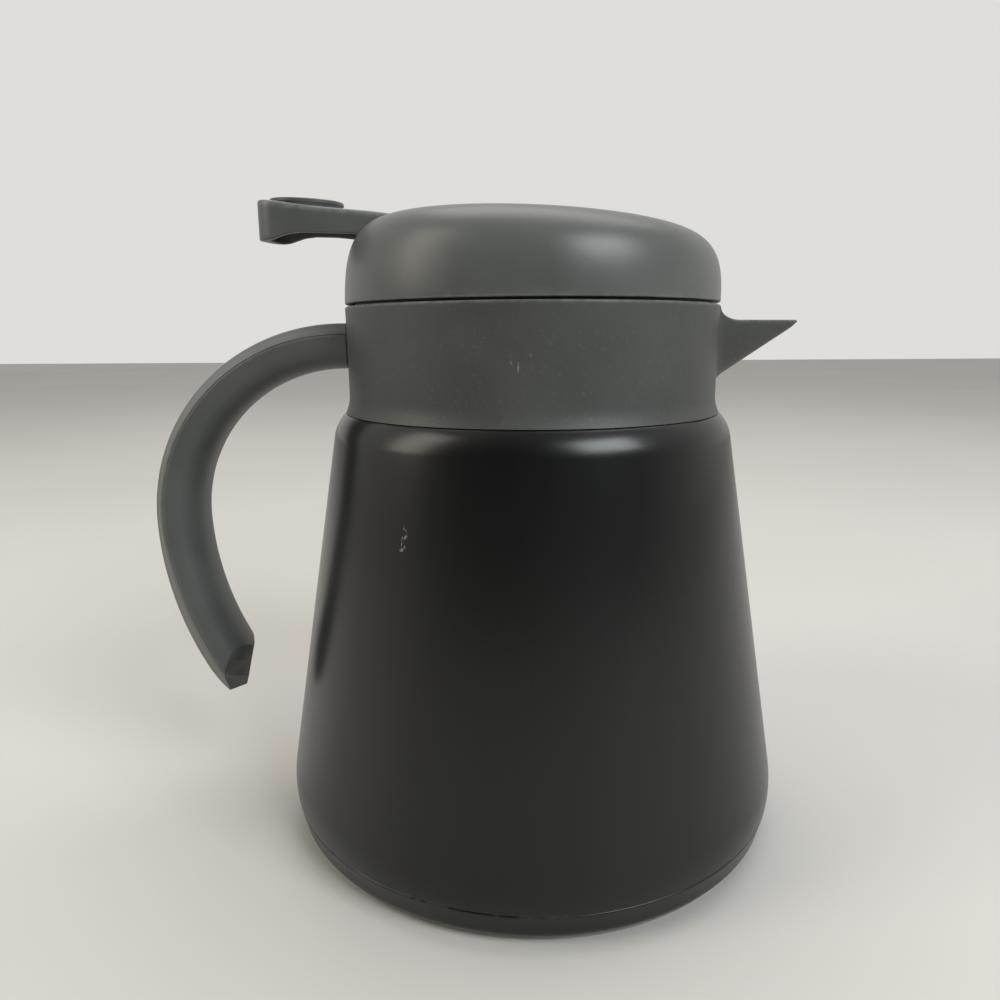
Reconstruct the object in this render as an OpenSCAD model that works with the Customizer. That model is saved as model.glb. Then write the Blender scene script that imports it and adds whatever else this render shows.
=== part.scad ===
// Thermal carafe: a double-walled steel flask with a plastic collar, spout and open handle,
// and a push-fit domed lid whose thumb lever lifts a spring-closed pouring valve.
// Z is the axis of the flask, the spout points along +X and the handle along -X.
// The origin is the centre of the face that the carafe stands on.

/* [Flask] */
// Inner radius of the steel mouth, which sets the collar, the lid and the shoulder
mouth_r = 41; // [38:0.5:44]
// How far the shoulder stands out from the mouth
shoulder_step = 11.6; // [9:0.2:14]
// How much wider the foot is than the shoulder
foot_flare = 14.6; // [10:0.2:20]
// Height where the cone ends and the shoulder starts
shoulder_z = 105.6; // [85:0.2:130]
// Height where the cone ends and the foot rounding starts
foot_z = 16.4; // [14:0.2:20]
// Radius of the shoulder rounding
shoulder_round = 11; // [8:0.5:14]
// Radius of the foot rounding
foot_round = 26; // [20:0.5:32]
// Height of the welded seam between the outer shell and the base cup
crease_z = 8.5; // [7:0.1:10]
// Thickness of the steel sheet
steel_t = 0.6; // [0.5:0.1:1]
// Vacuum gap between the two walls
vacuum_gap = 5; // [4:0.5:7]
// Vacuum gap between the two walls in the neck
neck_gap = 1.4; // [1:0.1:2]
// Height of the steel neck above the collar seam
neck_h = 9.7; // [9:0.1:12]
// Gap between the base cup and the inner bottom
bottom_gap = 6.5; // [5:0.5:10]
// Corner radius of the inner bottom
flask_corner = 9; // [6:0.5:12]
// Thickness of the rest pad
pad_t = 0.9; // [0.6:0.1:1.5]

/* [Collar and spout] */
// Height of the collar from its seam to its rim
collar_h = 27.2; // [25:0.2:34]
// Thickness of the collar wall outside the steel neck
collar_wall = 3.6; // [3:0.1:5]
// How far the beak reaches out of the collar
spout_reach = 23.2; // [18:0.2:28]
// Drop from the collar rim to the top edge of the beak
spout_drop = 3.6; // [2:0.1:5]
// Depth of the beak where it leaves the collar
spout_depth = 15.4; // [12:0.2:18]
// Half width of the beak where it leaves the collar
spout_root_w = 11; // [9:0.5:14]
// Half width of the beak at its tip
spout_tip_w = 2.6; // [2:0.1:4]
// Wall of the beak
spout_wall = 1.9; // [1.5:0.1:2.5]

/* [Handle] */
// Clear room for the fingers between the flask and the grip
finger_gap = 33.5; // [28:0.5:42]
// Thickness of the handle, outside to inside
handle_t = 11.8; // [10:0.2:15]
// Width of the handle
handle_w = 20.5; // [16:0.5:26]
// Drop from the collar rim to the middle of the handle root
handle_drop = 9.8; // [8:0.2:12]
// Radius of the lower stretch of the handle
lower_bend_r = 84; // [75:1:100]
// Turn of the lower stretch down to the outer corner of the tip
tip_out_a = 36.5; // [32:0.5:40]
// Turn of the lower stretch down to the inner corner of the tip
tip_in_a = 29.5; // [24:0.5:31]
// Lean of the two faces that end the handle and meet in an edge along its middle
tip_lean = 26; // [0:1:35]

/* [Lid] */
// Visible gap between the collar rim and the lid
lid_gap = 1; // [0.6:0.1:1.5]
// Height of the plain wall of the lid cover
lid_wall_h = 3.5; // [3:0.5:6]
// Height of the dome over that wall
dome_h = 16.8; // [16:0.2:22]
// Wall of the lid mouldings
lid_t = 2; // [1.6:0.1:2.5]
// Radius of the opening in the valve seat
seat_r = 15; // [12:0.5:18]

/* [Lever and valve] */
// Half width of the thumb lever
lever_half_w = 10; // [8:0.5:12]
// Length of the thumb lever from its pivot to its end
lever_len = 34.5; // [30:0.5:40]
// Distance of the pivot inside the steel mouth
pivot_inset = 5; // [4:0.5:8]
// Height of the pivot over the underside of the lid
pivot_rise = 10.5; // [9.5:0.1:11.5]
// Radius of the pivot pin
pin_r = 1.5; // [1.2:0.1:2]
// Travel of the thumb lever in degrees
lever_travel = 12; // [8:1:12]
// Radius of the valve stem
stem_r = 3.5; // [2.5:0.1:4]
// Radius of the thumb pad
pad_r = 9.2; // [7:0.2:10]

/* [Spring] */
// Distance from the valve stem to the middle of the spring's wire
spring_room = 2.6; // [2.4:0.1:3]
// Diameter of the spring wire
wire_d = 0.9; // [0.6:0.1:1]
// Number of turns of the spring
spring_turns = 4.5; // [3.5:0.5:5]

/* [Hidden] */

round_fn = 96;
small_fn = 48;

// Clearances
run_gap = 0.05;
slide_gap = 0.3;
slot_gap = 0.5;
seat_gap = 0.05;
press_gap = 0.02;
screw_gap = 0.15;
nose_gap = 0.35;
over = 1;

// Flask
shoulder_r = mouth_r + shoulder_step;
foot_r = shoulder_r + foot_flare;
cone_a = atan((foot_r - shoulder_r) / (shoulder_z - foot_z));
seam_a = 42.8;
shoulder_c = [shoulder_r, shoulder_z] - shoulder_round * [cos(cone_a), sin(cone_a)];
foot_c = [foot_r, foot_z] - foot_round * [cos(cone_a), sin(cone_a)];
crease_a = asin((foot_c.y - crease_z) / foot_round);
crease_r = foot_c.x + foot_round * cos(crease_a);
weld_land = 0.8;
weld_a = -asin((foot_c.y - crease_z - 2 * weld_land) / foot_round);
seam_r = shoulder_c.x + shoulder_round * cos(seam_a);
seam_z = shoulder_c.y + shoulder_round * sin(seam_a);
neck_out_r = mouth_r + 2 * steel_t + neck_gap;
lip_z = seam_z + neck_h;
shelf_z = seam_z + 0.4;
shelf_step = 0.7;
neck_fillet = 1.6;
cup_corner = 3.5;
cup_lean = 1.1;
cup_turn = 7;
pad_edge = 2.2;
vent_r = 2;
vent_plug_t = 1.2;
flask_z = pad_t + steel_t + bottom_gap;
weld_z = flask_z + flask_corner + weld_land;
foil_inset = 4.5;
foil_t = 0.2;
getter_r = 7;
getter_t = 1.6;
flask_round = 8;
flask_turn = 60;
flask_top_z = shoulder_z - 3.6;

// Collar
collar_top_z = seam_z + collar_h;
gasket_t = 0.8;
web_z = lip_z + steel_t + gasket_t;
web_t = 2;
bowl_floor_z = web_z + web_t;
collar_in_r = neck_out_r + slide_gap;
waist_r = collar_in_r + collar_wall;
rim_r = waist_r + 0.5;
rim_round = 0.5;
waist_u = 0.42;
seam_lap = 0.4;
shell_gap = 0.2;
ledge_drop = 4.5;
ledge_z = collar_top_z - ledge_drop;
ring_r = rim_r - lid_t;
bowl_r = ring_r + slide_gap;
bowl_low_r = bowl_r - 1.1;
web_bore_r = mouth_r + 0.2;

// Spout
spout_z = collar_top_z - spout_drop;
tip_x = rim_r + spout_reach;
beak_end_r = 1.9;
beak_end_x = tip_x - beak_end_r / 2;
beak_root_x = rim_r - 4;
beak_slope = (spout_depth - beak_end_r) / (beak_end_x - waist_r);
beak_root_r = beak_end_r + beak_slope * (beak_end_x - beak_root_x);
beak_least_r = 0.2;
beak_fillet = 3;
beak_foot = 2.3;
floor_extra = 0.3;
trough_floor_z = bowl_floor_z;

// Handle
handle_root_x = rim_r + 1.5;
handle_z = collar_top_z - handle_drop;
gap_z = 80;
upper_bend_r = cone_r(gap_z) + finger_gap + handle_t / 2 - handle_root_x;
grip_z = handle_z - upper_bend_r;
lower_c = [lower_bend_r - upper_bend_r - handle_root_x, grip_z];
ridge = 3;
ridge_land = 1;
outer_flat = 6.2;
outer_edge = 0.8;
tip_edge = 2;
channel_w = 11.4;
channel_in = 2.6;
channel_end_a = tip_in_a - 6;
tongue_t = 3;
tongue_z = handle_z - 0.6;
tongue_w = 10;
tongue_l = 11;
stub_reveal = 0.25;
stub_l = 3;
handle_screw_x = [2.8, 7.2];
handle_screw_r = 1.1;
handle_screw_l = 6;
handle_head_r = 2;
handle_head_t = 1.1;

// Lid
lid_z = collar_top_z + lid_gap;
lid_r = rim_r + 0.5;
dome_z = lid_z + lid_wall_h;
dome_wall_power = 5.5;
dome_top_power = 2.8;
plug_r = mouth_r - 0.8;
plug_in_r = plug_r - lid_t;
plug_z = seam_z + 2.7;
seat_t = 2;
seat_z = plug_z + seat_t;
chamber_top_z = seat_z + 16;
floor_z = chamber_top_z + lid_t;
rim_z = lid_z + 0.2;
rim_top_z = rim_z + lid_t;
cover_in_r = lid_r - lid_t;
window_w = 14;
window_z = bowl_floor_z + 0.2;
groove_z = plug_z + 3;
groove_h = 3;
groove_d = 0.9;
lip_root = 0.2;
lip_at = 0.7;
screw_ring_r = (plug_r + ring_r - lid_t) / 2;
lid_screw_a = [45, 135, 225, 315];
lid_screw_r = 1.1;
lid_head_r = 1.7;
lid_head_t = 1.2;
lid_screw_l = 8;
boss_r = 2.2;
spring_seat_z = lid_z + 16.5;
spring_r = stem_r + spring_room;
spring_boss_r = spring_r + 2.5;
spring_cup_h = 2;

// Lever, with its pivot as the point that its shape turns about
pivot_x = mouth_r - pivot_inset;
pivot_z = lid_z + pivot_rise;
pivot = [-pivot_x, pivot_z];
lever_top_end = pivot + [-lever_len, 15.1];
lever_top_corner = lever_top_end + [1, 0];
lever_top_in = pivot + [1.8, 9.9];
lever_wall = 1.8;
pad_share = 0.64;
pad_rise = 1.2;
pad_edge_t = 0.5;
lever_roof = 2;
lever_low_out = pivot + [-24, 6.8];
lever_low_in = pivot + [-8.4, 6.1];
lip_low = 5;
lip_l = 4.2;
lever_end_round = 4;
cheek_r = 4.6;
nose_r = 2;
nose_z = pivot_z - 11.5;
nose = [0, nose_z];
fork_w = 3.3;
fork_gap = stem_r + 0.7;
arm_half_w = fork_gap + fork_w;
arm_root = 3;
arm_margin = 1.5;
arm_drop = 0.6;
ear_t = 2.4;
ear_r = 4;
ear_y = lever_half_w + slot_gap;
slot_low_z = pivot_z + 1.6;
slot_front_x = lever_top_in.x + slot_gap;
lift_x = pivot_x * sin(lever_travel);
lift = lift_x + (pivot_z - nose_z) * (1 - cos(lever_travel));

// Valve
spring_rings = 8;
spring_sides = 6;
lift_flange_z = nose_z + nose_r + nose_gap;
lift_flange_t = 1.8;
lift_flange_r = 8;
hub_r = (spring_r - wire_d / 2) * cos(180 / spring_rings) - slide_gap;
hub_h = 2;
clip_t = 0.8;
clip_gap = 2.4;
clip_r = stem_r + 1.3;
stem_top_z = lift_flange_z + lift_flange_t + hub_h + clip_t + 1;
seal_t = 1.4;
seal_r = seat_r + 3.5;
disc_t = 2;
disc_r = seal_r + 0.8;
seal_z = seat_z + seat_gap;
seal_clip_r = 7;
seal_clip_t = 1.2;
stem_foot_r = 2.5;
stem_foot_out = 1.5;
disc_hub_t = 2;
guide_r = stem_r + 1.8;
guide_flange_r = guide_r + 1.6;
guide_flange_t = 1.4;
wiper_t = 1.4;
spring_low_z = lift_flange_z + lift_flange_t;

echo(seam_r = seam_r, seam_z = seam_z, lid_z = lid_z, pivot = pivot, lift = lift);
echo(spring_self_gap = spring_self_gap());

function arc(c, r, a0, a1, n) = [for (i = [0:n])
    let (a = a0 + (a1 - a0) * i / n) c + r * [cos(a), sin(a)]];
function reversed(v) = [for (i = [len(v) - 1:-1:0]) v[i]];
function left_of(p, q) = [p.y - q.y, q.x - p.x] / norm(q - p);

// A line moved sideways by d, to the left of its own direction
function moved(v, d) = [for (i = [0:len(v) - 1])
    let (a = left_of(v[max(i, 1) - 1], v[max(i, 1)]), k = min(i, len(v) - 2), b = left_of(v[k], v[k + 1]))
    v[i] + d * (a + b) / (1 + a * b)];

// A sheet of steel on one side of a line
module sheet(line, t) {
    rotate_extrude($fn = round_fn) polygon(concat(line, reversed(moved(line, t))));
}

// A ring with a rectangular section
module ring(r_out, r_in, z, h) {
    translate([0, 0, z]) difference() {
        cylinder(r = r_out, h = h, $fn = round_fn);
        translate([0, 0, -over]) cylinder(r = r_in, h = h + 2 * over, $fn = round_fn);
    }
}

// A round bar along Y, centred on the XZ plane
module cross_bar(at, r, l) {
    translate([at.x, 0, at.y]) rotate([90, 0, 0]) cylinder(r = r, h = l, center = true, $fn = small_fn);
}

// An outline in the XZ plane, made w wide across Y
module across(w) {
    rotate([90, 0, 0]) linear_extrude(height = w, center = true) children();
}

function cone_r(z) = foot_r - (z - foot_z) * tan(cone_a);
function flask_r(z) = cone_r(z) - (steel_t + vacuum_gap) / cos(cone_a);

module outer_shell() {
    shelf = arc([neck_out_r + neck_fillet, shelf_z + neck_fillet], neck_fillet, 270, 180, 4);
    line = concat([[crease_r, crease_z], [crease_r, crease_z + weld_land]],
        arc(foot_c, foot_round, weld_a, cone_a, 6), arc(shoulder_c, shoulder_round, cone_a, seam_a, 6),
        [[seam_r - shelf_step, shelf_z]], shelf, [[neck_out_r, lip_z]]);
    color([0.07, 0.07, 0.07]) sheet(line, steel_t);
}

module base_cup() {
    cup_c = [crease_r - cup_lean - cup_corner, pad_t + cup_corner];
    line = concat([[vent_r, pad_t]], arc(cup_c, cup_corner, -90, -cup_turn, 5),
        [[crease_r, crease_z - weld_land], [crease_r, crease_z]]);
    color([0.08, 0.08, 0.08]) sheet(line, steel_t);
}

module base_pad() {
    color([0.3, 0.3, 0.31]) cylinder(r = crease_r - cup_lean - pad_edge, h = pad_t, $fn = round_fn);
}

module vacuum_seal() {
    color([0.75, 0.75, 0.72]) union() {
        translate([0, 0, pad_t]) cylinder(r = vent_r, h = steel_t, $fn = small_fn);
        translate([0, 0, pad_t + steel_t])
            cylinder(r1 = 2 * vent_r, r2 = vent_r, h = vent_plug_t, $fn = small_fn);
    }
}

module inner_flask() {
    top = [flask_r(flask_top_z), flask_top_z];
    top_c = top - flask_round * [cos(cone_a), sin(cone_a)];
    neck_r = mouth_r + steel_t;
    line = concat([[flask_r(weld_z), weld_z], [flask_r(weld_z), weld_z + weld_land]],
        arc(top_c, flask_round, cone_a, flask_turn, 6),
        [[neck_r, top_c.y + flask_round + weld_land], [neck_r, lip_z]]);
    color([0.72, 0.72, 0.71]) union() {
        sheet(line, steel_t);
        ring(neck_out_r, mouth_r, lip_z, steel_t);
    }
}

module inner_bottom() {
    r = flask_r(weld_z);
    line = concat([[0, flask_z]], arc([r - flask_corner, weld_z - weld_land], flask_corner, -90, 0, 8),
        [[r, weld_z]]);
    color([0.7, 0.7, 0.69]) sheet(line, steel_t);
}

module heat_foil() {
    mid = steel_t + vacuum_gap / 2;
    low_z = weld_z + foil_inset;
    high_z = flask_top_z - foil_inset;
    color([0.8, 0.8, 0.8]) sheet([[cone_r(low_z) - mid, low_z], [cone_r(high_z) - mid, high_z]], foil_t);
}

module getter() {
    color([0.6, 0.6, 0.62]) translate([mouth_r / 2, 0, flask_z - getter_t])
        cylinder(r = getter_r, h = getter_t, $fn = small_fn);
}

module neck_gasket() {
    color([0.85, 0.85, 0.82]) ring(neck_out_r, web_bore_r, lip_z + steel_t, gasket_t);
}

// Radius of the collar at a share u of its height, with a waist and a flare to the seam
function collar_r(u) = u < waist_u ? waist_r + (seam_r - seam_lap - waist_r) * pow(1 - u / waist_u, 4)
    : waist_r + (rim_r - waist_r) * pow((u - waist_u) / (1 - waist_u), 2);

module collar_ring() {
    low = seam_z + seam_lap;
    side = [for (i = [0:12]) let (u = i / 12) [collar_r(u), low + u * (collar_top_z - rim_round - low)]];
    under = shelf_z + neck_fillet + seam_lap;
    rotate_extrude($fn = round_fn) polygon(concat(
        [[collar_in_r, under], [collar_in_r + neck_fillet, shelf_z + shell_gap],
        [seam_r - shelf_step, shelf_z + shell_gap]], side,
        [[rim_r - rim_round, collar_top_z], [bowl_r, collar_top_z], [bowl_r, ledge_z], [bowl_low_r, ledge_z],
        [bowl_low_r, bowl_floor_z], [web_bore_r, bowl_floor_z], [web_bore_r, web_z], [collar_in_r, web_z]]));
}

// Plan of the beak, s narrower on each side
module beak_plan(s) {
    polygon([[beak_root_x, -spout_root_w + s], [tip_x + over, -spout_tip_w + s],
        [tip_x + over, spout_tip_w - s], [beak_root_x, spout_root_w - s]]);
}

// Solid of the beak under its top edge, s smaller all round
module beak_cone(s) {
    end_r = max(beak_end_r - s, beak_least_r);
    translate([beak_root_x, 0, spout_z]) rotate([0, 90, 0])
        cylinder(r1 = beak_root_r - s, r2 = end_r, h = (beak_root_r - s - end_r) / beak_slope,
            $fn = small_fn);
}

module beak() {
    foot_x = rim_r + beak_foot;
    intersection() {
        union() {
            beak_cone(0);
            translate([beak_end_x, 0, spout_z]) sphere(r = beak_end_r, $fn = small_fn);
            across(2 * spout_root_w) polygon(concat(
                [[beak_root_x, spout_z], [beak_root_x, collar_top_z - rim_round]],
                arc([foot_x + beak_fillet, spout_z + beak_fillet], beak_fillet, 180, 270, 6)));
        }
        linear_extrude(height = collar_top_z) beak_plan(0);
        union() {
            translate([beak_root_x, -spout_root_w, 0])
                cube([tip_x, 2 * spout_root_w, spout_z]);
            translate([beak_root_x, -spout_root_w, 0])
                cube([foot_x + beak_fillet - beak_root_x, 2 * spout_root_w, collar_top_z]);
        }
        translate([0, 0, seam_z]) difference() {
            cylinder(r = tip_x, h = collar_h, $fn = round_fn);
            translate([0, 0, -over]) cylinder(r = bowl_low_r + 1, h = collar_h + 2 * over, $fn = round_fn);
        }
    }
}

module trough() {
    intersection() {
        union() {
            beak_cone(spout_wall + floor_extra);
            translate([beak_root_x, -spout_root_w, spout_z - over])
                cube([tip_x - beak_root_x, 2 * spout_root_w, collar_h]);
        }
        translate([0, 0, trough_floor_z]) linear_extrude(height = collar_h) beak_plan(spout_wall);
    }
    notch_w = spout_root_w - spout_wall;
    translate([beak_root_x - 3, -notch_w, trough_floor_z])
        cube([rim_r - beak_root_x + 3.2, 2 * notch_w, collar_h]);
}

module collar() {
    tongue_x = rim_r - lid_t / 2;
    color([0.25, 0.25, 0.24]) difference() {
        union() {
            collar_ring();
            beak();
            intersection() {
                translate([stub_l - handle_root_x, 0, handle_z]) rotate([0, -90, 0])
                    linear_extrude(height = stub_l) handle_section(stub_reveal);
                difference() {
                    translate([0, 0, seam_z])
                        cylinder(r = handle_root_x + over, h = collar_h, $fn = round_fn);
                    cylinder(r = bowl_r, h = collar_top_z, $fn = round_fn);
                }
            }
            translate([-handle_root_x - tongue_l, -tongue_w / 2, tongue_z - tongue_t / 2])
                cube([handle_root_x + tongue_l - tongue_x, tongue_w, tongue_t]);
        }
        trough();
        for (x = handle_screw_x) translate([-handle_root_x - x, 0, handle_z - handle_t])
            cylinder(r = handle_screw_r + screw_gap, h = 2 * handle_t, $fn = small_fn);
    }
}

// Section of the handle: x is outwards from its middle line and y is across it, s smaller all round
module handle_section(s) {
    out = handle_t / 2 - s;
    polygon(concat(inner_half(s), [[out - outer_edge, -outer_flat - outer_edge], [out, -outer_flat],
        [out, outer_flat], [out - outer_edge, outer_flat + outer_edge]]));
}

// The rounded inner side of the section, from the ridge at +Y round to the ridge at -Y
function inner_half(s) = let (w = handle_w / 2 - s)
    concat([[ridge, w], [ridge - ridge_land, w]], [for (i = [2:14]) let (a = i * 180 / 16)
        [ridge - (handle_t / 2 + ridge - s) * sin(a), w * cos(a)]],
    [[ridge - ridge_land, -w], [ridge, -w]]);

module channel_section() {
    translate([-channel_in, -channel_w / 2]) square([handle_t, channel_w]);
}

module cap_section() {
    intersection() {
        handle_section(0);
        translate([ridge, -handle_w]) square([handle_t, 2 * handle_w]);
    }
}

// The root of the handle, a quarter turn out of the collar
module along_root() {
    translate([-handle_root_x, 0, grip_z]) rotate([90, 0, 0]) rotate([0, 0, 90])
        rotate_extrude(angle = 90, $fn = round_fn) translate([upper_bend_r, 0]) children();
}

// The wide lower bend of the handle, a turn of low_a degrees
module along_bend(low_a) {
    translate([lower_c.x, 0, lower_c.y]) rotate([90, 0, 0]) rotate([0, 0, 180])
        rotate_extrude(angle = low_a, $fn = 2 * round_fn) translate([lower_bend_r, 0]) children();
}

// Room beyond the two leaning faces that end the handle, which meet in an edge between its corners
module beyond_tip() {
    low = lower_c - (lower_bend_r + handle_t / 2 - tip_edge) * [cos(tip_out_a), sin(tip_out_a)];
    high = lower_c - (lower_bend_r - handle_t / 2) * [cos(tip_in_a), sin(tip_in_a)];
    edge = low - high;
    away = [handle_t, -handle_t];
    for (side = [-1, 1]) translate([high.x, 0, high.y])
        rotate(a = side * tip_lean, v = [edge.x, 0, edge.y])
            across(3 * handle_w) polygon([-edge, 2 * edge, 2 * edge + away, away - edge]);
}

module handle_grip() {
    color([0.27, 0.27, 0.26]) difference() {
        union() {
            along_root() polygon(inner_half(0));
            along_bend(tip_out_a) polygon(inner_half(0));
        }
        along_root() channel_section();
        along_bend(channel_end_a) channel_section();
        beyond_tip();
        for (x = handle_screw_x) translate([-handle_root_x - x, 0, tongue_z + tongue_t / 2 - handle_screw_l])
            cylinder(r = handle_screw_r + press_gap, h = handle_t, $fn = small_fn);
    }
}

module handle_cap() {
    color([0.3, 0.3, 0.29]) difference() {
        union() {
            along_root() cap_section();
            along_bend(tip_out_a) cap_section();
        }
        beyond_tip();
    }
}

module handle_screws() {
    color([0.75, 0.75, 0.76]) for (x = handle_screw_x) translate([-handle_root_x - x, 0, 0]) union() {
        translate([0, 0, tongue_z + tongue_t / 2 - handle_screw_l])
            cylinder(r = handle_screw_r, h = handle_screw_l, $fn = small_fn);
        translate([0, 0, tongue_z + tongue_t / 2])
            cylinder(r = handle_head_r, h = handle_head_t, $fn = small_fn);
    }
}

// Outline of a dome of radius r and height h, with a full shoulder and a nearly flat crown
function dome_line(r, h) = [for (i = [0:18])
    [r * pow(cos(i * 5), 2 / dome_wall_power), h * pow(sin(i * 5), 2 / dome_top_power)]];

// Solid inside a lid cover of radius r whose crown is at height h over the dome's foot
module dome_solid(r, h) {
    translate([0, 0, dome_z]) rotate_extrude($fn = round_fn)
        polygon(concat([[0, -lid_wall_h], [r, -lid_wall_h]], dome_line(r, h)));
}

module lid_cover() {
    color([0.3, 0.31, 0.3]) difference() {
        union() {
            difference() {
                dome_solid(lid_r, dome_h);
                difference() {
                    dome_solid(cover_in_r, dome_h - lid_t);
                    translate([0, 0, spring_seat_z]) cylinder(r = spring_boss_r, h = dome_h, $fn = round_fn);
                }
                translate([0, 0, lid_z - over]) cylinder(r = cover_in_r, h = 2 * over, $fn = round_fn);
            }
            translate([0, 0, spring_seat_z - spring_cup_h]) difference() {
                cylinder(r = spring_boss_r, h = spring_cup_h + over, $fn = round_fn);
                translate([0, 0, -over])
                    cylinder(r = spring_r + wire_d / 2 + slide_gap, h = spring_cup_h + over, $fn = round_fn);
            }
            intersection() {
                dome_solid(lid_r - lid_t / 2, dome_h - lid_t / 2);
                for (a = lid_screw_a) rotate([0, 0, a]) translate([screw_ring_r, 0, rim_top_z])
                    cylinder(r = boss_r, h = dome_h, $fn = small_fn);
            }
        }
        for (a = lid_screw_a) rotate([0, 0, a]) translate([screw_ring_r, 0, rim_top_z - over])
            cylinder(r = lid_screw_r + press_gap, h = lid_screw_l, $fn = small_fn);
        translate([-2 * lid_r + slot_front_x, -lever_half_w - slot_gap, slot_low_z])
            cube([2 * lid_r, 2 * (lever_half_w + slot_gap), 2 * dome_h]);
    }
}

module pin_ears() {
    for (s = [-1, 1]) translate([0, s * (ear_y + ear_t / 2), 0]) difference() {
        union() {
            cross_bar(pivot, ear_r, ear_t);
            translate([pivot.x - ear_r, -ear_t / 2, rim_z]) cube([2 * ear_r, ear_t, pivot.y - rim_z]);
        }
        cross_bar(pivot, pin_r, 2 * ear_t);
    }
}

module lid_base() {
    color([0.24, 0.24, 0.24]) difference() {
        union() {
            ring(plug_r, plug_in_r, plug_z, rim_top_z - plug_z);
            ring(plug_r - lid_t / 2, seat_r, plug_z, seat_t);
            ring(plug_r - lid_t / 2, guide_r, chamber_top_z, lid_t);
            ring(cover_in_r - slide_gap, plug_in_r, rim_z, lid_t);
            ring(ring_r, ring_r - lid_t, ledge_z + seat_gap, rim_z - ledge_z);
            pin_ears();
        }
        ring(plug_r + over, plug_r - groove_d, groove_z, groove_h);
        translate([0, -window_w, window_z]) cube([lid_r, 2 * window_w, chamber_top_z - window_z]);
        for (a = lid_screw_a) rotate([0, 0, a]) translate([screw_ring_r, 0, rim_z - over])
            cylinder(r = lid_screw_r + screw_gap, h = lid_t + 2 * over, $fn = small_fn);
    }
}

module lid_gasket() {
    root_r = plug_r - groove_d;
    lip_r = mouth_r - run_gap;
    color([0.8, 0.8, 0.78]) rotate_extrude($fn = round_fn) polygon([[root_r, groove_z],
        [plug_r + lip_root, groove_z], [lip_r, groove_z + lip_at],
        [plug_r + lip_root, groove_z + groove_h / 2], [lip_r, groove_z + groove_h - lip_at],
        [plug_r + lip_root, groove_z + groove_h], [root_r, groove_z + groove_h]]);
}

module lid_screws() {
    color([0.75, 0.75, 0.76]) for (a = lid_screw_a) rotate([0, 0, a]) translate([screw_ring_r, 0, 0])
        union() {
            translate([0, 0, rim_z - lid_head_t]) cylinder(r = lid_head_r, h = lid_head_t, $fn = small_fn);
            translate([0, 0, rim_z]) cylinder(r = lid_screw_r, h = lid_screw_l, $fn = small_fn);
        }
}

module lever_pin() {
    color([0.75, 0.75, 0.76]) cross_bar(pivot, pin_r, 2 * (ear_y + ear_t));
}

module stem_guide() {
    bore = stem_r + run_gap;
    color([0.85, 0.85, 0.83]) union() {
        ring(guide_r, bore, chamber_top_z, lid_t);
        ring(guide_flange_r, bore, chamber_top_z - guide_flange_t, guide_flange_t);
    }
}

module stem_seal() {
    color([0.8, 0.8, 0.78]) ring(guide_flange_r, stem_r + run_gap, floor_z, wiper_t);
}

function spring_point(t) = let (rise = spring_seat_z - spring_low_z - wire_d - 2 * seat_gap)
    [spring_r * cos(360 * t * spring_turns), spring_r * sin(360 * t * spring_turns),
    spring_low_z + wire_d / 2 + seat_gap + rise * t];

// Least clear distance between points of the wire that lie a half turn or more apart
function spring_self_gap() = let (n = round(spring_turns * spring_rings), half = spring_rings / 2)
    min([for (i = [0:n - half]) for (j = [i + half:n])
        norm(spring_point(i / n) - spring_point(j / n))]) - wire_d;

module valve_spring() {
    n = round(spring_turns * spring_rings);
    m = spring_sides;
    points = [for (i = [0:n]) let (c = spring_point(i / n), a = 360 * spring_turns * i / n)
        for (k = [0:m - 1]) let (b = 360 * k / m)
            c + wire_d / 2 * [cos(b) * cos(a), cos(b) * sin(a), sin(b)]];
    sides = [for (i = [0:n - 1]) for (k = [0:m - 1]) let (p = i * m, q = p + m, l = (k + 1) % m)
        each [[p + k, q + k, q + l], [p + k, q + l, p + l]]];
    ends = [for (k = [1:m - 2]) each [[0, k, k + 1], [n * m, n * m + k + 1, n * m + k]]];
    color([0.7, 0.7, 0.72]) polyhedron(points = points, faces = concat(sides, ends));
}

// Side view of the channel of the lever, outside the lid and down to the pivot
module lever_side() {
    polygon(concat([lever_top_in, lever_top_corner, lever_top_end + [0, -1],
        [lever_top_end.x, pivot_z + lip_low], [lever_top_end.x + lip_l, pivot_z + lip_low],
        lever_low_out, lever_low_in, pivot + [-cheek_r, pin_r]],
        arc(pivot, cheek_r, 180, 340, 8), [lever_top_in + [0, -lever_end_round]]));
}

module lever_hollow() {
    polygon([lever_top_in + [over, -lever_roof], lever_top_corner + [lever_wall, -lever_roof],
        lever_top_end + [lever_wall, -lever_roof], [lever_top_end.x + lever_wall, pivot_z - 2 * cheek_r],
        [-pivot_x + 2 * cheek_r, pivot_z - 2 * cheek_r]]);
}

// Side view of the arm from the pivot to the nose under the lift collar
module arm_side() {
    far = -lift_flange_r - arm_margin;
    polygon([pivot + [0, -cheek_r], pivot + [-arm_root, -arm_root], pivot + [-arm_root, arm_root],
        pivot + [arm_root, arm_root], nose + [far, nose_r], nose + [0, nose_r], nose + [0, -nose_r],
        nose + [far, -nose_r - arm_drop]]);
}

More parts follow.
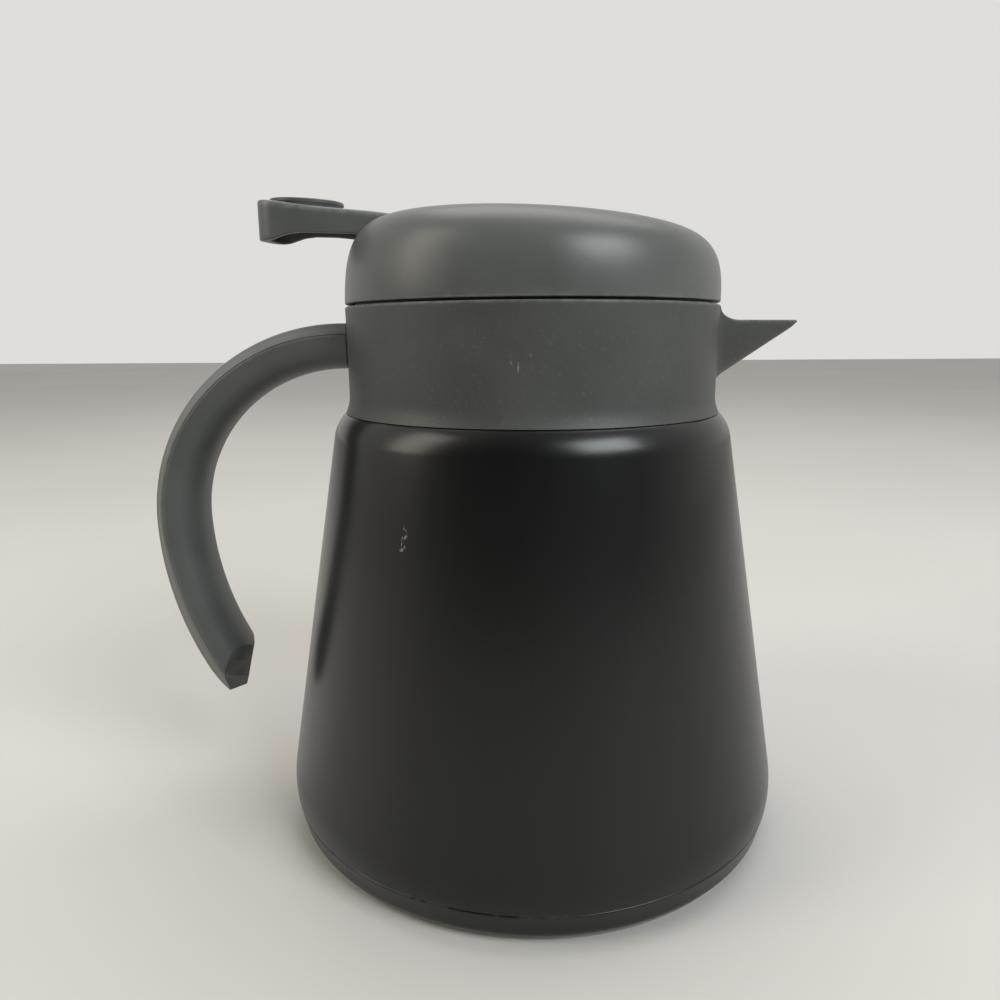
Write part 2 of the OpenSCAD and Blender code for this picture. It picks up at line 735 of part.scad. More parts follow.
module thumb_lever() {
    w = 2 * lever_half_w;
    color([0.31, 0.31, 0.3]) difference() {
        union() {
            intersection() {
                difference() {
                    across(w) lever_side();
                    across(w - 2 * lever_wall) lever_hollow();
                }
                union() {
                    translate([lever_top_end.x + lever_end_round, -w, 0])
                        cube([pivot_x + lever_len, 2 * w, 2 * pivot_z]);
                    for (s = [-1, 1]) translate([lever_top_end.x, s * (lever_half_w - lever_end_round), 0])
                        translate([lever_end_round, 0, 0])
                            cylinder(r = lever_end_round, h = 2 * pivot_z, $fn = small_fn);
                    translate([lever_top_end.x, -lever_half_w + lever_end_round, 0])
                        cube([pivot_x + lever_len, w - 2 * lever_end_round, 2 * pivot_z]);
                }
            }
            across(2 * arm_half_w) arm_side();
            cross_bar(nose, nose_r, 2 * arm_half_w);
            cross_bar(pivot, ear_r, w);
        }
        translate([-lift_flange_r - arm_margin, -fork_gap, nose_z - 2 * cheek_r])
            cube([pivot_x, 2 * fork_gap, 4 * cheek_r]);
        cross_bar(pivot, pin_r + run_gap, 2 * w);
    }
}

module thumb_pad() {
    slope = atan((lever_top_corner.y - lever_top_in.y) / (lever_top_in.x - lever_top_corner.x));
    along = lever_top_in + (lever_top_corner - lever_top_in) * pad_share;
    crown_r = (pad_r * pad_r + pad_rise * pad_rise) / (2 * pad_rise);
    crown = arc([0, pad_edge_t + pad_rise - crown_r], crown_r, 90, 90 - asin(pad_r / crown_r), 8);
    color([0.33, 0.33, 0.32]) translate([along.x, 0, along.y]) rotate([0, slope, 0])
        rotate_extrude($fn = round_fn) polygon(concat([[0, 0]], crown, [[pad_r, 0]]));
}

module valve_stem() {
    foot_z_low = plug_z - stem_foot_out;
    shoulder = seal_z + seal_t;
    color([0.82, 0.82, 0.8]) union() {
        translate([0, 0, shoulder]) cylinder(r = stem_r, h = stem_top_z - shoulder, $fn = small_fn);
        translate([0, 0, foot_z_low]) cylinder(r = stem_foot_r, h = shoulder - foot_z_low, $fn = small_fn);
    }
}

module lift_collar() {
    color([0.2, 0.2, 0.2]) union() {
        ring(lift_flange_r, stem_r, lift_flange_z, lift_flange_t);
        ring(hub_r, stem_r, lift_flange_z + lift_flange_t, hub_h);
    }
}

module stem_clip() {
    color([0.75, 0.75, 0.76]) difference() {
        ring(clip_r, stem_r, lift_flange_z + lift_flange_t + hub_h, clip_t);
        translate([0, -clip_gap / 2, lift_flange_z]) cube([2 * clip_r, clip_gap, 2 * lift_flange_r]);
    }
}

module valve_disc() {
    color([0.82, 0.82, 0.8]) union() {
        ring(disc_r, stem_r, seal_z + seal_t, disc_t);
        ring(stem_r + disc_hub_t, stem_r, seal_z + seal_t + disc_t, disc_hub_t);
    }
}

module valve_seal() {
    color([0.8, 0.8, 0.78]) ring(seal_r, stem_foot_r, seal_z, seal_t);
}

module seal_clip() {
    color([0.75, 0.75, 0.76]) ring(seal_clip_r, stem_foot_r, seal_z - seal_clip_t, seal_clip_t);
}

outer_shell();
base_cup();
base_pad();
vacuum_seal();
inner_flask();
inner_bottom();
heat_foil();
getter();
neck_gasket();
collar();
handle_grip();
handle_cap();
handle_screws();
lid_cover();
lid_base();
lid_gasket();
lid_screws();
lever_pin();
stem_guide();
stem_seal();
valve_spring();
thumb_lever();
thumb_pad();
valve_stem();
lift_collar();
stem_clip();
valve_disc();
valve_seal();
seal_clip();
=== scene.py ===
"""Looks of the thermal carafe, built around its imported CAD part.

The frame is the CAD part: metres, +Z up along the flask, spout to +X, handle to -X. Sizes in
the tables below are in millimetres and are turned into metres when a mesh is made.
"""

import math

import bmesh
import bpy
import numpy as np
from bpy.props import FloatProperty, FloatVectorProperty, PointerProperty
from bpy.types import Operator, Panel, PropertyGroup
from mathutils import Euler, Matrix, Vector


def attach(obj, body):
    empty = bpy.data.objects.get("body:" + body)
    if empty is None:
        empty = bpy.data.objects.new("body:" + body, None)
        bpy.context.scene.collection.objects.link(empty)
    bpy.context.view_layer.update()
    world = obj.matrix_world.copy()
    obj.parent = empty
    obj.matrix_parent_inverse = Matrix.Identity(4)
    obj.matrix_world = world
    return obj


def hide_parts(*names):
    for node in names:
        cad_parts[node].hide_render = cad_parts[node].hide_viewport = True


bl_info = {
    "name": "Thermal Carafe",
    "version": (1, 0, 0),
    "blender": (4, 5, 0),
    "location": "View3D > Sidebar > Carafe",
    "description": "Builds the visible surfaces, finishes and studio of a thermal carafe",
    "category": "Object",
}

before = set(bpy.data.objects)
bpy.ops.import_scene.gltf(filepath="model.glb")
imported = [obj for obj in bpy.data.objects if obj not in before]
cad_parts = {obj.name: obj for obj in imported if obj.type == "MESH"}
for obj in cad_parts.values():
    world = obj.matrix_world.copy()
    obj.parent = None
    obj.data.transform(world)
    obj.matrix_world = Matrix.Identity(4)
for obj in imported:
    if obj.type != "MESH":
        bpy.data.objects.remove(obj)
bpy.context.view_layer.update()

MM = 0.001
TURN = 2 * math.pi

# Flask, as in the CAD part
CONE = math.atan2(14.6, 89.2)
SHOULDER = (52.6, 105.6, 11.0)
FOOT = (67.2, 16.4, 26.0)
CREASE_Z = 8.5
SEAM_R, SEAM_Z = 49.80, 111.31
STEEL = 0.6
PAD_T = 0.9

# Collar, as in the CAD part but with a straighter waist
COLLAR_LOW, COLLAR_TOP = 111.75, 138.5
WAIST_R, RIM_R = 48.3, 48.5
BOWL_R, BOWL_LOW_R, LEDGE_Z, FLOOR_Z = 46.3, 45.2, 134.0, 124.4
BORE_R, WEB_Z, COLLAR_IN_R = 41.2, 122.4, 43.9
SPOUT_Z, TIP_X = 134.9, 71.2

# Handle, as in the CAD part but for its root and its rounder tip
START_R, ROOT_X, HANDLE_Z = 48.55, -49.5, 128.7
ROOT_BEND, LOW_BEND = 46.68, 84.0
HANDLE_T, HANDLE_W, RIDGE = 11.8, 20.5, 3.0
TIP_LOW, TIP_HIGH, TIP_LEAN = math.radians(35.9), math.radians(29.5), math.radians(24)
TIP_ROUND, TIP_PAST = 3.9, 0.026

# Lid, as in the CAD part but with a thinner seam and a crown that leans
LID_Z, LID_R, LID_T = 139.1, 48.5, 2.0
DOME_Z, DOME_H, DOME_SIDE, DOME_RISE = 135.3, 24.2, 3.85, 0.5814
LEAN_SHIFT, LEAN_OVER = 0.57, 20.0
POST_AT, POST_ANGLES = 42.1, (45, 135, 225, 315)
SLOT_W, SLOT_X, SLOT_Z = 10.5, 33.7, 151.6

# Lever, as in the CAD part but for its outer end. LEVER_LOW is the lower edge of its walls: deep
# at the pivot, shallow along the arm, and swept down to the lip of the free end.
LEVER_IN = (-34.2, 160.9)
LEVER_END = (-69.5, 165.4)
LEVER_W, LEVER_X = 10.0, -69.4
LEVER_LOW = np.array([
    [-69.4, 155.3], [-67.0, 155.25], [-65.2, 155.5], [-63.2, 156.1], [-61.0, 156.8], [-58.0, 157.15],
    [-52.0, 157.0], [-46.0, 156.6], [-44.0, 156.45], [-42.4, 155.3], [-41.6, 154.9], [-39.6, 150.5],
    [-38.2, 147.0], [-34.0, 147.0]])
LEVER_ROLL, ROLL_FROM, ROLL_OVER = 0.052, -40.0, 12.0
PIVOT = (-36.0, 150.0)


# Meshes

def arc(cx, cy, r, a0, a1, n):
    """n + 1 points of an arc: (cx + r cos a, cy + r sin a), a in degrees from a0 to a1."""
    a = np.radians(np.linspace(a0, a1, n + 1))
    return np.column_stack([cx + r * np.cos(a), cy + r * np.sin(a)])


def offset_line(line, d):
    """The line moved d to the left of its own direction, mitred at its bends."""
    step = np.diff(line, axis=0)
    left = np.column_stack([-step[:, 1], step[:, 0]]) / np.linalg.norm(step, axis=1)[:, None]
    a = np.vstack([left[:1], left])
    b = np.vstack([left, left[-1:]])
    return line + d * (a + b) / (1 + (a * b).sum(1))[:, None]


def dense(line, step):
    """The same line with extra points, no more than step apart."""
    out = [line[:1]]
    for p, q in zip(line[:-1], line[1:]):
        n = max(1, int(math.ceil(np.linalg.norm(q - p) / step)))
        t = np.linspace(0, 1, n + 1)[1:, None]
        out.append(p + (q - p) * t)
    return np.vstack(out)


def grid_faces(n, m, close_u=False, close_v=False):
    """Quads of an n by m grid of points, joined end to end where close_u or close_v is set."""
    i, j = np.meshgrid(np.arange(n if close_u else n - 1), np.arange(m if close_v else m - 1), indexing="ij")
    i, j = i.ravel(), j.ravel()
    p, q = (i + 1) % n, (j + 1) % m
    return np.column_stack([i * m + j, p * m + j, p * m + q, i * m + q])


def rim_edges(faces):
    """Edges that only one of the faces has, in that face's direction."""
    edges = np.vstack([faces[:, [k, (k + 1) % 4]] for k in range(4)])
    edges = edges[edges[:, 0] != edges[:, 1]]
    key = np.sort(edges, axis=1)
    _, first, count = np.unique(key, axis=0, return_index=True, return_counts=True)
    return edges[first[count == 1]]


def thick(faces, outer, inner):
    """A closed skin from two sheets with the same faces: outer, inner turned round, and a wall
    between them along every edge that only one face has."""
    n = len(outer)
    rim = rim_edges(faces)
    walls = np.column_stack([rim[:, 1], rim[:, 0], rim[:, 0] + n, rim[:, 1] + n])
    return np.vstack([outer, inner]), np.vstack([faces, faces[:, ::-1] + n, walls])


def join(*parts):
    """Several (points, faces) pairs as one."""
    points, faces, at = [], [], 0
    for p, f in parts:
        points.append(p)
        faces.append(f + at)
        at += len(p)
    return np.vstack(points), np.vstack(faces)


def revolved(line, n=256, closed=True):
    """Surface of a line turned about Z: P(a, s) = (r(s) cos a, r(s) sin a, z(s))."""
    a = np.arange(n) * TURN / n
    points = np.empty((n, len(line), 3))
    points[..., 0] = np.cos(a)[:, None] * line[None, :, 0]
    points[..., 1] = np.sin(a)[:, None] * line[None, :, 0]
    points[..., 2] = line[None, :, 1]
    return points.reshape(-1, 3), grid_faces(n, len(line), True, closed)


def sheet_line(line, t):
    """The closed outline of a sheet of thickness t on the left side of a line."""
    return np.vstack([line, offset_line(line, t)[::-1]])


def extruded(outline, low, high):
    """A prism: an outline in the XZ plane drawn from y = low to y = high, its ends closed by fans."""
    n = len(outline)
    mid = outline.mean(0)
    rings = []
    for share, y in ((0, low), (1, low), (1, high), (0, high)):
        ring = mid + (outline - mid) * share
        rings.append(np.column_stack([ring[:, 0], np.full(n, y), ring[:, 1]]))
    return np.vstack(rings), grid_faces(4, n, False, True)


def clean_faces(faces):
    """The quads whose four corners differ, and triangles from those with two equal neighbours."""
    doubled = faces == np.roll(faces, 1, axis=1)
    pinched = (faces[:, 0] == faces[:, 2]) | (faces[:, 1] == faces[:, 3])
    quads = faces[(doubled.sum(1) == 0) & ~pinched]
    halves = (doubled.sum(1) == 1) & ~pinched
    corner = np.argmax(doubled[halves], axis=1)[:, None]
    triangles = np.take_along_axis(faces[halves], (corner + np.array([[1, 2, 3]])) % 4, axis=1)
    return quads, triangles


def piece(name, shape, body, material, replaces=(), sharp=38.0, bevel=0.0, attribute=None):
    """Makes a closed mesh in metres from (points, faces) in millimetres. Equal points are welded,
    faces with no area dropped and the rest turned outwards. The attribute holds how much lighter
    the first points are painted, which on the handle and the lever is a painted highlight; the others have
    none."""
    points, faces = shape
    key = np.round(points * 2000).astype(np.int64)
    _, first, same = np.unique(key, axis=0, return_index=True, return_inverse=True)
    quads, triangles = clean_faces(same.reshape(-1)[faces])
    mesh = bpy.data.meshes.new(name)
    mesh.from_pydata(points[first] * MM, [], quads.tolist() + triangles.tolist())
    if attribute is not None:
        wear_and_highlight = np.zeros(len(points), np.float32)
        wear_and_highlight[:len(attribute)] = attribute
        layer = mesh.attributes.new("wear_and_highlight", "FLOAT", "POINT")
        layer.data.foreach_set("value", wear_and_highlight[first])
    made = bmesh.new()
    made.from_mesh(mesh)
    bmesh.ops.recalc_face_normals(made, faces=made.faces)
    open_edges = sum(1 for e in made.edges if len(e.link_faces) != 2)
    made.to_mesh(mesh)
    made.free()
    if open_edges:
        raise RuntimeError(f"{name} has {open_edges} open edges")
    mesh.shade_smooth()
    mesh.set_sharp_from_angle(angle=math.radians(sharp))
    obj = bpy.data.objects.new(name, mesh)
    bpy.context.scene.collection.objects.link(obj)
    if bevel:
        mod = obj.modifiers.new("edges", "BEVEL")
        mod.width = bevel * MM
        mod.segments = 3
        mod.limit_method = "ANGLE"
        mod.angle_limit = math.radians(sharp)
        mod.harden_normals = True
    mesh.materials.append(material)
    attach(obj, body)
    if replaces:
        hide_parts(*replaces)
    return obj


# Flask

def shell_line():
    """Outer side of the shell from its welded edge up over the shoulder and into the neck."""
    c, s = math.cos(CONE), math.sin(CONE)
    fx, fz = FOOT[0] - FOOT[2] * c, FOOT[1] - FOOT[2] * s
    sx, sz = SHOULDER[0] - SHOULDER[2] * c, SHOULDER[1] - SHOULDER[2] * s
    low = -math.degrees(math.asin((fz - CREASE_Z - 0.5) / FOOT[2]))
    cone = math.degrees(CONE)
    foot = arc(fx, fz, FOOT[2], low, cone, 14)
    edge = np.array([[foot[0, 0] - 0.28, CREASE_Z + 0.04], [foot[0, 0] - 0.1, CREASE_Z + 0.12],
                     [foot[0, 0] - 0.02, CREASE_Z + 0.3]])
    shoulder = arc(sx, sz, SHOULDER[2], cone, 42.8, 16)
    shelf = np.array([[SEAM_R - 0.25, SEAM_Z + 0.2], [SEAM_R - 0.7, SEAM_Z + 0.38]])
    neck = arc(45.2, SEAM_Z + 1.98, 1.6, 270, 180, 4)
    return dense(np.vstack([edge, foot, shoulder, shelf, neck, [[43.6, 121.0]]]), 3.0)


def cup_line():
    """Outer side of the base cup from the vent up to the welded edge."""
    corner = arc(62.68, PAD_T + 3.5, 3.5, -90, -7, 10)
    top = np.array([[67.1, CREASE_Z - 0.8], [67.22, CREASE_Z - 0.3], [67.15, CREASE_Z - 0.12],
                    [66.95, CREASE_Z - 0.04]])
    return dense(np.vstack([[[2.0, PAD_T]], corner, top]), 4.0)


def pad_line():
    """Half section of the rest pad, rounded at its edge."""
    r = 63.9
    edge = arc(r - 0.4, 0.45, 0.45, -90, 90, 8)
    edge[:, 1] = np.clip(edge[:, 1], 0, PAD_T - 0.01)
    return np.vstack([[[0, 0], [r * 0.5, 0]], edge, [[r * 0.5, PAD_T - 0.01], [0, PAD_T - 0.01]]])


# Collar and spout

def smooth_max(a, b, k):
    """The larger of a and b, with a fillet of size k where they are nearly equal."""
    h = np.clip(0.5 + 0.5 * (a - b) / k, 0, 1)
    return b * (1 - h) + a * h + k * h * (1 - h)


def collar_r(z):
    """Radius of the collar at height z: a waist, with a flare to the seam."""
    u = np.clip((z - COLLAR_LOW) / (COLLAR_TOP - 0.5 - COLLAR_LOW), 0, 1)
    flare = WAIST_R + 1.05 * np.clip(1 - u / 0.17, 0, 1) ** 2
    return flare + (RIM_R - WAIST_R) * np.clip((u - 0.42) / 0.58, 0, 1) ** 2


def beak_r(a, z, wall, floor):
    """How far the beak reaches from the axis of the flask in direction a at height z.
    Across, it is w(x, d) = W(x) sqrt(1 - (d / D(x))^2) at a depth d under its top edge, with
    its half width W and its depth D falling to nothing at the tip. The reach R solves
    |R sin a| = w(R cos a, d) and is found by halving."""
    d = np.maximum(SPOUT_Z - z, 0)
    low, high = np.full(np.broadcast(a, z).shape, 40.0), np.full(np.broadcast(a, z).shape, 74.0)

    def beyond(r):
        x = r * np.cos(a)
        end = TIP_X - wall
        nose = np.sqrt(np.clip(1 - np.clip((x - end + 2.6) / 2.6, 0, 1) ** 2, 0, 1))
        half = np.clip(11.0 - 0.335 * (x - 44.0) - wall, 0.02, 12) * nose
        deep = np.clip(2.2 + 0.6627 * (68.9 - x) - floor, 0.02, 30) * nose
        wide = half * np.sqrt(np.clip(1 - (d / np.maximum(deep, 1e-6)) ** 2, 0, 1))
        return (np.abs(r * np.sin(a)) > wide) | (d > deep) | (x > end)

    none = beyond(low) | (np.cos(a) < 0.5)
    for _ in range(40):
        mid = (low + high) / 2
        out = beyond(mid)
        high = np.where(out, mid, high)
        low = np.where(out, low, mid)
    return np.where(none, 0.0, low)


def collar_shape():
    """Closed skin of the collar with its beak and trough: for each direction a round the flask
    a closed section s -> (R(a, s), z(a, s)), P(a, s) = (R cos a, R sin a, z)."""
    near = np.radians(np.linspace(-26, 26, 180))
    far = np.radians(np.linspace(26, 334, 190))[1:-1]
    a = np.concatenate([near, far])[:, None]
    edge = smooth_max(collar_r(SPOUT_Z), beak_r(a, SPOUT_Z, 0, 0), 2.4)
    t = np.clip((edge - RIM_R - 0.25) / 5.6, 0, 1)
    top = COLLAR_TOP - (COLLAR_TOP - SPOUT_Z) * np.sqrt(np.clip(1 - (1 - t) ** 2, 0, 1))
    round_r = 0.45
    u = np.linspace(0, 1, 56)[None, :] ** 0.9
    z_out = COLLAR_LOW + u * (top - round_r - COLLAR_LOW)
    z_beak = np.minimum(z_out, SPOUT_Z)
    r_out = smooth_max(collar_r(z_out), beak_r(a, z_beak, 0, 0), 2.4 + 2.2 * (1 - u))
    turn = np.radians(np.array([30, 60, 90.0]))[None, :]
    last = r_out[:, -1:]
    r_turn = last - round_r * (1 - np.cos(turn))
    z_turn = top - round_r * (1 - np.sin(turn))

    def inside(z, bowl):
        return np.maximum(bowl, beak_r(a, np.minimum(z, SPOUT_Z), 1.5, 2.0))

    r_lip = inside(top - 0.3, BOWL_R)
    share = np.linspace(0, 1, 5)[None, :]
    z_high = (top - 0.3) + share * (LEDGE_Z + 0.02 - top + 0.3)
    r_high = inside(z_high, BOWL_R)
    z_low = LEDGE_Z + np.linspace(0, 1, 16)[None, :] * (FLOOR_Z - LEDGE_Z) + 0 * a
    r_low = inside(z_low, BOWL_LOW_R)
    r_floor = r_low[:, -1:] + np.linspace(0, 1, 6)[None, 1:] * (BORE_R - r_low[:, -1:])
    under = np.array([[BORE_R, WEB_Z], [COLLAR_IN_R, WEB_Z], [COLLAR_IN_R, 114.2], [45.5, 112.1],
                      [49.0, 111.95]])
    ones = np.ones_like(a)
    r = np.hstack([r_out, r_turn, r_lip + 0.3, r_high, r_low, r_floor, ones * under[None, :, 0]])
    z_floor = ones * np.full((1, 5), FLOOR_Z)
    z = np.hstack([z_out, z_turn, top, z_high, z_low, z_floor, ones * under[None, :, 1]])
    points = np.stack([r * np.cos(a), r * np.sin(a), z], axis=-1)
    wear_and_highlight = np.exp(-((z - top) / 0.5) ** 2) * (r > BOWL_R + 0.5)
    return (points.reshape(-1, 3), grid_faces(*r.shape, True, True)), wear_and_highlight.reshape(-1)


def handle_half(s):
    """Rounded inner side of the handle's section, s smaller: u = ridge - (t/2 + ridge) sin f,
    w = (w/2) cos f."""
    f = np.linspace(0, math.pi, 41)
    u = RIDGE - (HANDLE_T / 2 + RIDGE - s) * np.sin(f) ** 0.92
    w = (HANDLE_W / 2 - s) * np.sign(np.cos(f)) * np.abs(np.cos(f)) ** 0.86
    return np.column_stack([u, w])


def stub_shape():
    """Short stub of the collar that the handle butts against, drawn along X."""
    side = handle_half(0.25)
    outer = np.array([[RIDGE + 2.1, -7.0], [5.65, -6.1], [5.65, 6.1], [RIDGE + 2.1, 7.0]])
    section = np.vstack([side, outer])
    n = len(section)
    rings = []
    for share, x in ((0, -45.6), (1, -45.6), (1, -47.9), (0.99, -48.0), (0, -48.0)):
        ring = section * share
        rings.append(np.column_stack([np.full(n, x), ring[:, 1], HANDLE_Z + ring[:, 0]]))
    return np.vstack(rings), grid_faces(5, n, False, True)


def tongue_shape():
    """Flat tongue of the collar inside the root of the handle."""
    z = HANDLE_Z - 0.6
    outline = np.array([[-60.5, z - 1.5], [-47.0, z - 1.5], [-47.0, z + 1.5], [-60.5, z + 1.5]])
    return extruded(outline, -5.0, 5.0)


# Handle

def tip_turn(u, w):
    """Angle of the lower bend at which the line (u, w) of the sweep meets one of the two leaning
    faces of the tip: n . (c - (R2 + u) e(b) - p) = -|w| tan(lean). The outer corner of the tip is
    rounded by TIP_ROUND."""
    low_c = np.array([LOW_BEND - ROOT_BEND + ROOT_X, HANDLE_Z - ROOT_BEND])
    low = low_c - (LOW_BEND + HANDLE_T / 2 - 2) * np.array([math.cos(TIP_LOW), math.sin(TIP_LOW)])
    high = low_c - (LOW_BEND - HANDLE_T / 2) * np.array([math.cos(TIP_HIGH), math.sin(TIP_HIGH)])
    d = (low - high) / np.linalg.norm(low - high)
    beyond = np.array([-d[1], d[0]])
    lean = math.tan(TIP_LEAN) * (np.sqrt(w ** 2 + 0.5) - math.sqrt(0.5))
    base = math.atan2(beyond[1], beyond[0])

    def met(u):
        reach = np.clip((beyond @ (low_c - low) + lean) / (LOW_BEND + u), -1, 1)
        turns = [np.mod(base + k * np.arccos(reach), TURN) for k in (1, -1)]
        return np.where(np.abs(turns[0] - TIP_LOW) < np.abs(turns[1] - TIP_LOW), turns[0], turns[1])

    side = np.clip(u - HANDLE_T / 2 + TIP_ROUND, 0, TIP_ROUND)
    corner = TIP_ROUND - np.sqrt(TIP_ROUND ** 2 - side ** 2)
    return np.minimum(met(u), met(HANDLE_T / 2 - 2) + TIP_PAST - corner / LOW_BEND)


def swept_handle(section):
    """A section (u, w) drawn along the handle from the curve of the collar: a quarter turn of
    radius R1 + u out of the root, then a wide bend of radius R2 + u down to the tip. On its way
    down the ridge drifts inwards: u is less by up to 2.1 mm times a share that is whole at the
    ridge and nothing at both sides. Over the last 8 degrees the outer side turns inwards by
    1.5 mm."""
    start, w = section[:, 0], section[:, 1]
    half = HANDLE_T / 2
    share = np.where(start > RIDGE, (half - start) / (half - RIDGE), (start + half) / (RIDGE + half))
    low_c = np.array([LOW_BEND - ROOT_BEND + ROOT_X, HANDLE_Z - ROOT_BEND])
    root_c = np.array([ROOT_X, HANDLE_Z - ROOT_BEND])
    rows = [np.column_stack([-np.sqrt(START_R ** 2 - w ** 2), w, root_c[1] + ROOT_BEND + start])]
    for t in np.linspace(0, 1, 61):
        a = math.pi / 2 * (1 + t)
        u = start - 0.5 * t ** 3 * np.clip(share, 0, 1)
        rows.append(np.column_stack([root_c[0] + (ROOT_BEND + u) * math.cos(a), w,
                                     root_c[1] + (ROOT_BEND + u) * math.sin(a)]))
    for t in np.linspace(0, 1, 57)[1:]:
        u = start - (0.5 + 1.6 * t * (2 - t)) * np.clip(share, 0, 1)
        b = t * tip_turn(u, w)
        u = u - 1.5 * np.clip((b - 0.49) / 0.135, 0, 1) ** 2 * np.clip(u / half, 0, 1)
        rows.append(np.column_stack([low_c[0] - (LOW_BEND + u) * np.cos(b), w,
                                     low_c[1] - (LOW_BEND + u) * np.sin(b)]))
    first = np.repeat([[-START_R, 0.0, rows[0][:, 2].mean()]], len(w), 0)
    mid = (u.min() + u.max()) / 2
    b = tip_turn(mid, 0.0)
    tip = [low_c[0] - (LOW_BEND + mid) * math.cos(b), 0.0, low_c[1] - (LOW_BEND + mid) * math.sin(b)]
    points = np.stack([first] + rows + [np.repeat([tip], len(w), 0)])
    return points.reshape(-1, 3), grid_faces(points.shape[0], len(w), False, True)


def cap_section():
    """Outer band of the handle, from ridge to ridge, with a softened parting edge."""
    half = np.array([[RIDGE + 0.02, 0], [RIDGE + 0.02, 5.0], [RIDGE + 0.02, 9.86], [RIDGE + 0.05, 10.04],
                     [RIDGE + 0.2, 10.1], [RIDGE + 0.6, 9.8], [4.6, 8.0], [5.1, 7.25], [5.55, 6.7],
                     [5.79, 6.1], [5.88, 5.3], [5.9, 3.0]])
    other = half[::-1].copy()
    other[:, 1] *= -1
    return dense(np.vstack([half, other[:-1]]), 1.2)


def grip_section():
    """Inner half of the handle, closed at the plane of the ridge."""
    side = handle_half(0)
    edge = np.array([[RIDGE - 0.02, 9.86], [RIDGE - 0.05, 10.08], [RIDGE - 0.2, 10.2]])
    other = edge[::-1].copy()
    other[:, 1] *= -1
    return np.vstack([[[RIDGE - 0.02, 0], [RIDGE - 0.02, 5.0]], edge, side[1:-1], other,
                      [[RIDGE - 0.02, -5.0]]])


# Lid cover

def dome_z(r, big_r, height):
    """Height of the dome at radius r: z = DOME_Z + h sin(t)^DOME_RISE with r = R cos(t)^(1 / q),
    where q is DOME_SIDE."""
    cos_t = np.clip(r / big_r, 0, 1) ** DOME_SIDE
    return DOME_Z + height * np.sqrt(1 - cos_t ** 2) ** DOME_RISE


def leaned(points, lean):
    """The dome sheared so that it is higher at the handle: z falls by lean x w and x grows by
    LEAN_SHIFT w, with w from 0 at the rim to 1 at the crown."""
    w = np.clip((points[..., 2] - LID_Z) / LEAN_OVER, 0, 1)
    out = points.copy()
    out[..., 2] -= lean * points[..., 0] * w
    out[..., 0] += LEAN_SHIFT * w
    return out


def dome_sheet(big_r, height, lean, rim):
    """One side of the lid cover as a grid of rows from the rim to the pole. The columns of the
    last part of each row lie across the slot for the lever, between its edges y = +-SLOT_W."""
    low_t = math.asin(((SLOT_Z - DOME_Z) / height) ** (1 / DOME_RISE))
    corner = math.hypot(SLOT_X, SLOT_W)
    high_t = math.acos((corner / big_r) ** DOME_SIDE)
    first_t = math.asin(((LID_Z + 0.6 - DOME_Z) / height) ** (1 / DOME_RISE))
    t = np.concatenate([np.linspace(first_t, low_t, 14), np.linspace(low_t, high_t, 22)[1:]])
    r_rows = np.concatenate([rim[:, 0], big_r * np.cos(t) ** (1 / DOME_SIDE)])
    z_rows = np.concatenate([rim[:, 1], DOME_Z + height * np.sin(t) ** DOME_RISE])
    n_low = len(rim) + 14
    main, across_n = 168, 26
    rows = []
    for k, (r, z) in enumerate(zip(r_rows, z_rows)):
        s = math.asin(min(SLOT_W / r, 1))
        a = np.concatenate([np.linspace(s - math.pi, math.pi - s, main),
                            np.linspace(math.pi - s, math.pi + s, across_n + 2)[1:-1]])
        rr, zz = np.full(len(a), r), np.full(len(a), z)
        if k == len(r_rows) - 1:
            rr[main:] = SLOT_X / np.abs(np.cos(a[main:]))
            zz = dome_z(rr, big_r, height)
        rows.append(np.column_stack([rr * np.cos(a), rr * np.sin(a), zz]))
    edge, angles = rr, a
    for share in np.linspace(1, 0, 20)[1:]:
        r = edge * share
        rows.append(np.column_stack([r * np.cos(angles), r * np.sin(angles), dome_z(r, big_r, height)]))
    points = leaned(np.stack(rows), lean)
    faces = grid_faces(len(rows), main + across_n, False, True)
    row, col = faces[:, 0] // (main + across_n), faces[:, 0] % (main + across_n)
    hole = (row >= n_low - 1) & (row < len(r_rows) - 1) & (col >= main - 1)
    return points.reshape(-1, 3), faces[~hole]


def lid_shape(lean):
    """Closed skin of the lid cover with its slot, the seat of the spring and the posts of the
    screws, and how much lighter the rim of the skin's outer side is painted."""
    top = dome_z(0, LID_R, DOME_H)
    outer_rim = np.array([[LID_R - 0.45, LID_Z], [LID_R - 0.2, LID_Z + 0.06], [LID_R - 0.06, LID_Z + 0.22]])
    inner_r = LID_R - LID_T
    inner_rim = np.array([[inner_r, LID_Z], [inner_r, LID_Z + 0.06], [inner_r, LID_Z + 0.22]])
    outer, faces = dome_sheet(LID_R, DOME_H, lean, outer_rim)
    inner, _ = dome_sheet(inner_r, DOME_H - LID_T, lean, inner_rim)
    wear_and_highlight = np.exp(-((outer[:, 2] - LID_Z) / 0.5) ** 2)
    points, faces = thick(faces, outer, inner)
    seat = sheet_ring(8.6, 6.85, 154.0, top - 1.2)
    posts = [screw_post(x) for x in POST_ANGLES]
    return join((points, faces), seat, *posts), wear_and_highlight


def sheet_ring(r_out, r_in, low, high):
    """A ring of rectangular section about Z."""
    line = np.array([[r_in, low], [r_out, low], [r_out, high], [r_in, high]])
    return revolved(line, 96)


def screw_post(angle):
    """Post inside the lid cover that a lid screw bites into."""
    a = math.radians(angle)
    line = np.array([[1.15, 141.75], [2.2, 141.75], [2.2, 152.5], [1.15, 152.5]])
    points, faces = revolved(line, 32)
    return points + np.array([POST_AT * math.cos(a), POST_AT * math.sin(a), 0]), faces


# Lever

def lever_top_z(x):
    """Height of the lever's top: a straight slope, rising towards its free end."""
    (x0, z0), (x1, z1) = LEVER_IN, LEVER_END
    return z0 + (z1 - z0) * (x - x0) / (x1 - x0)


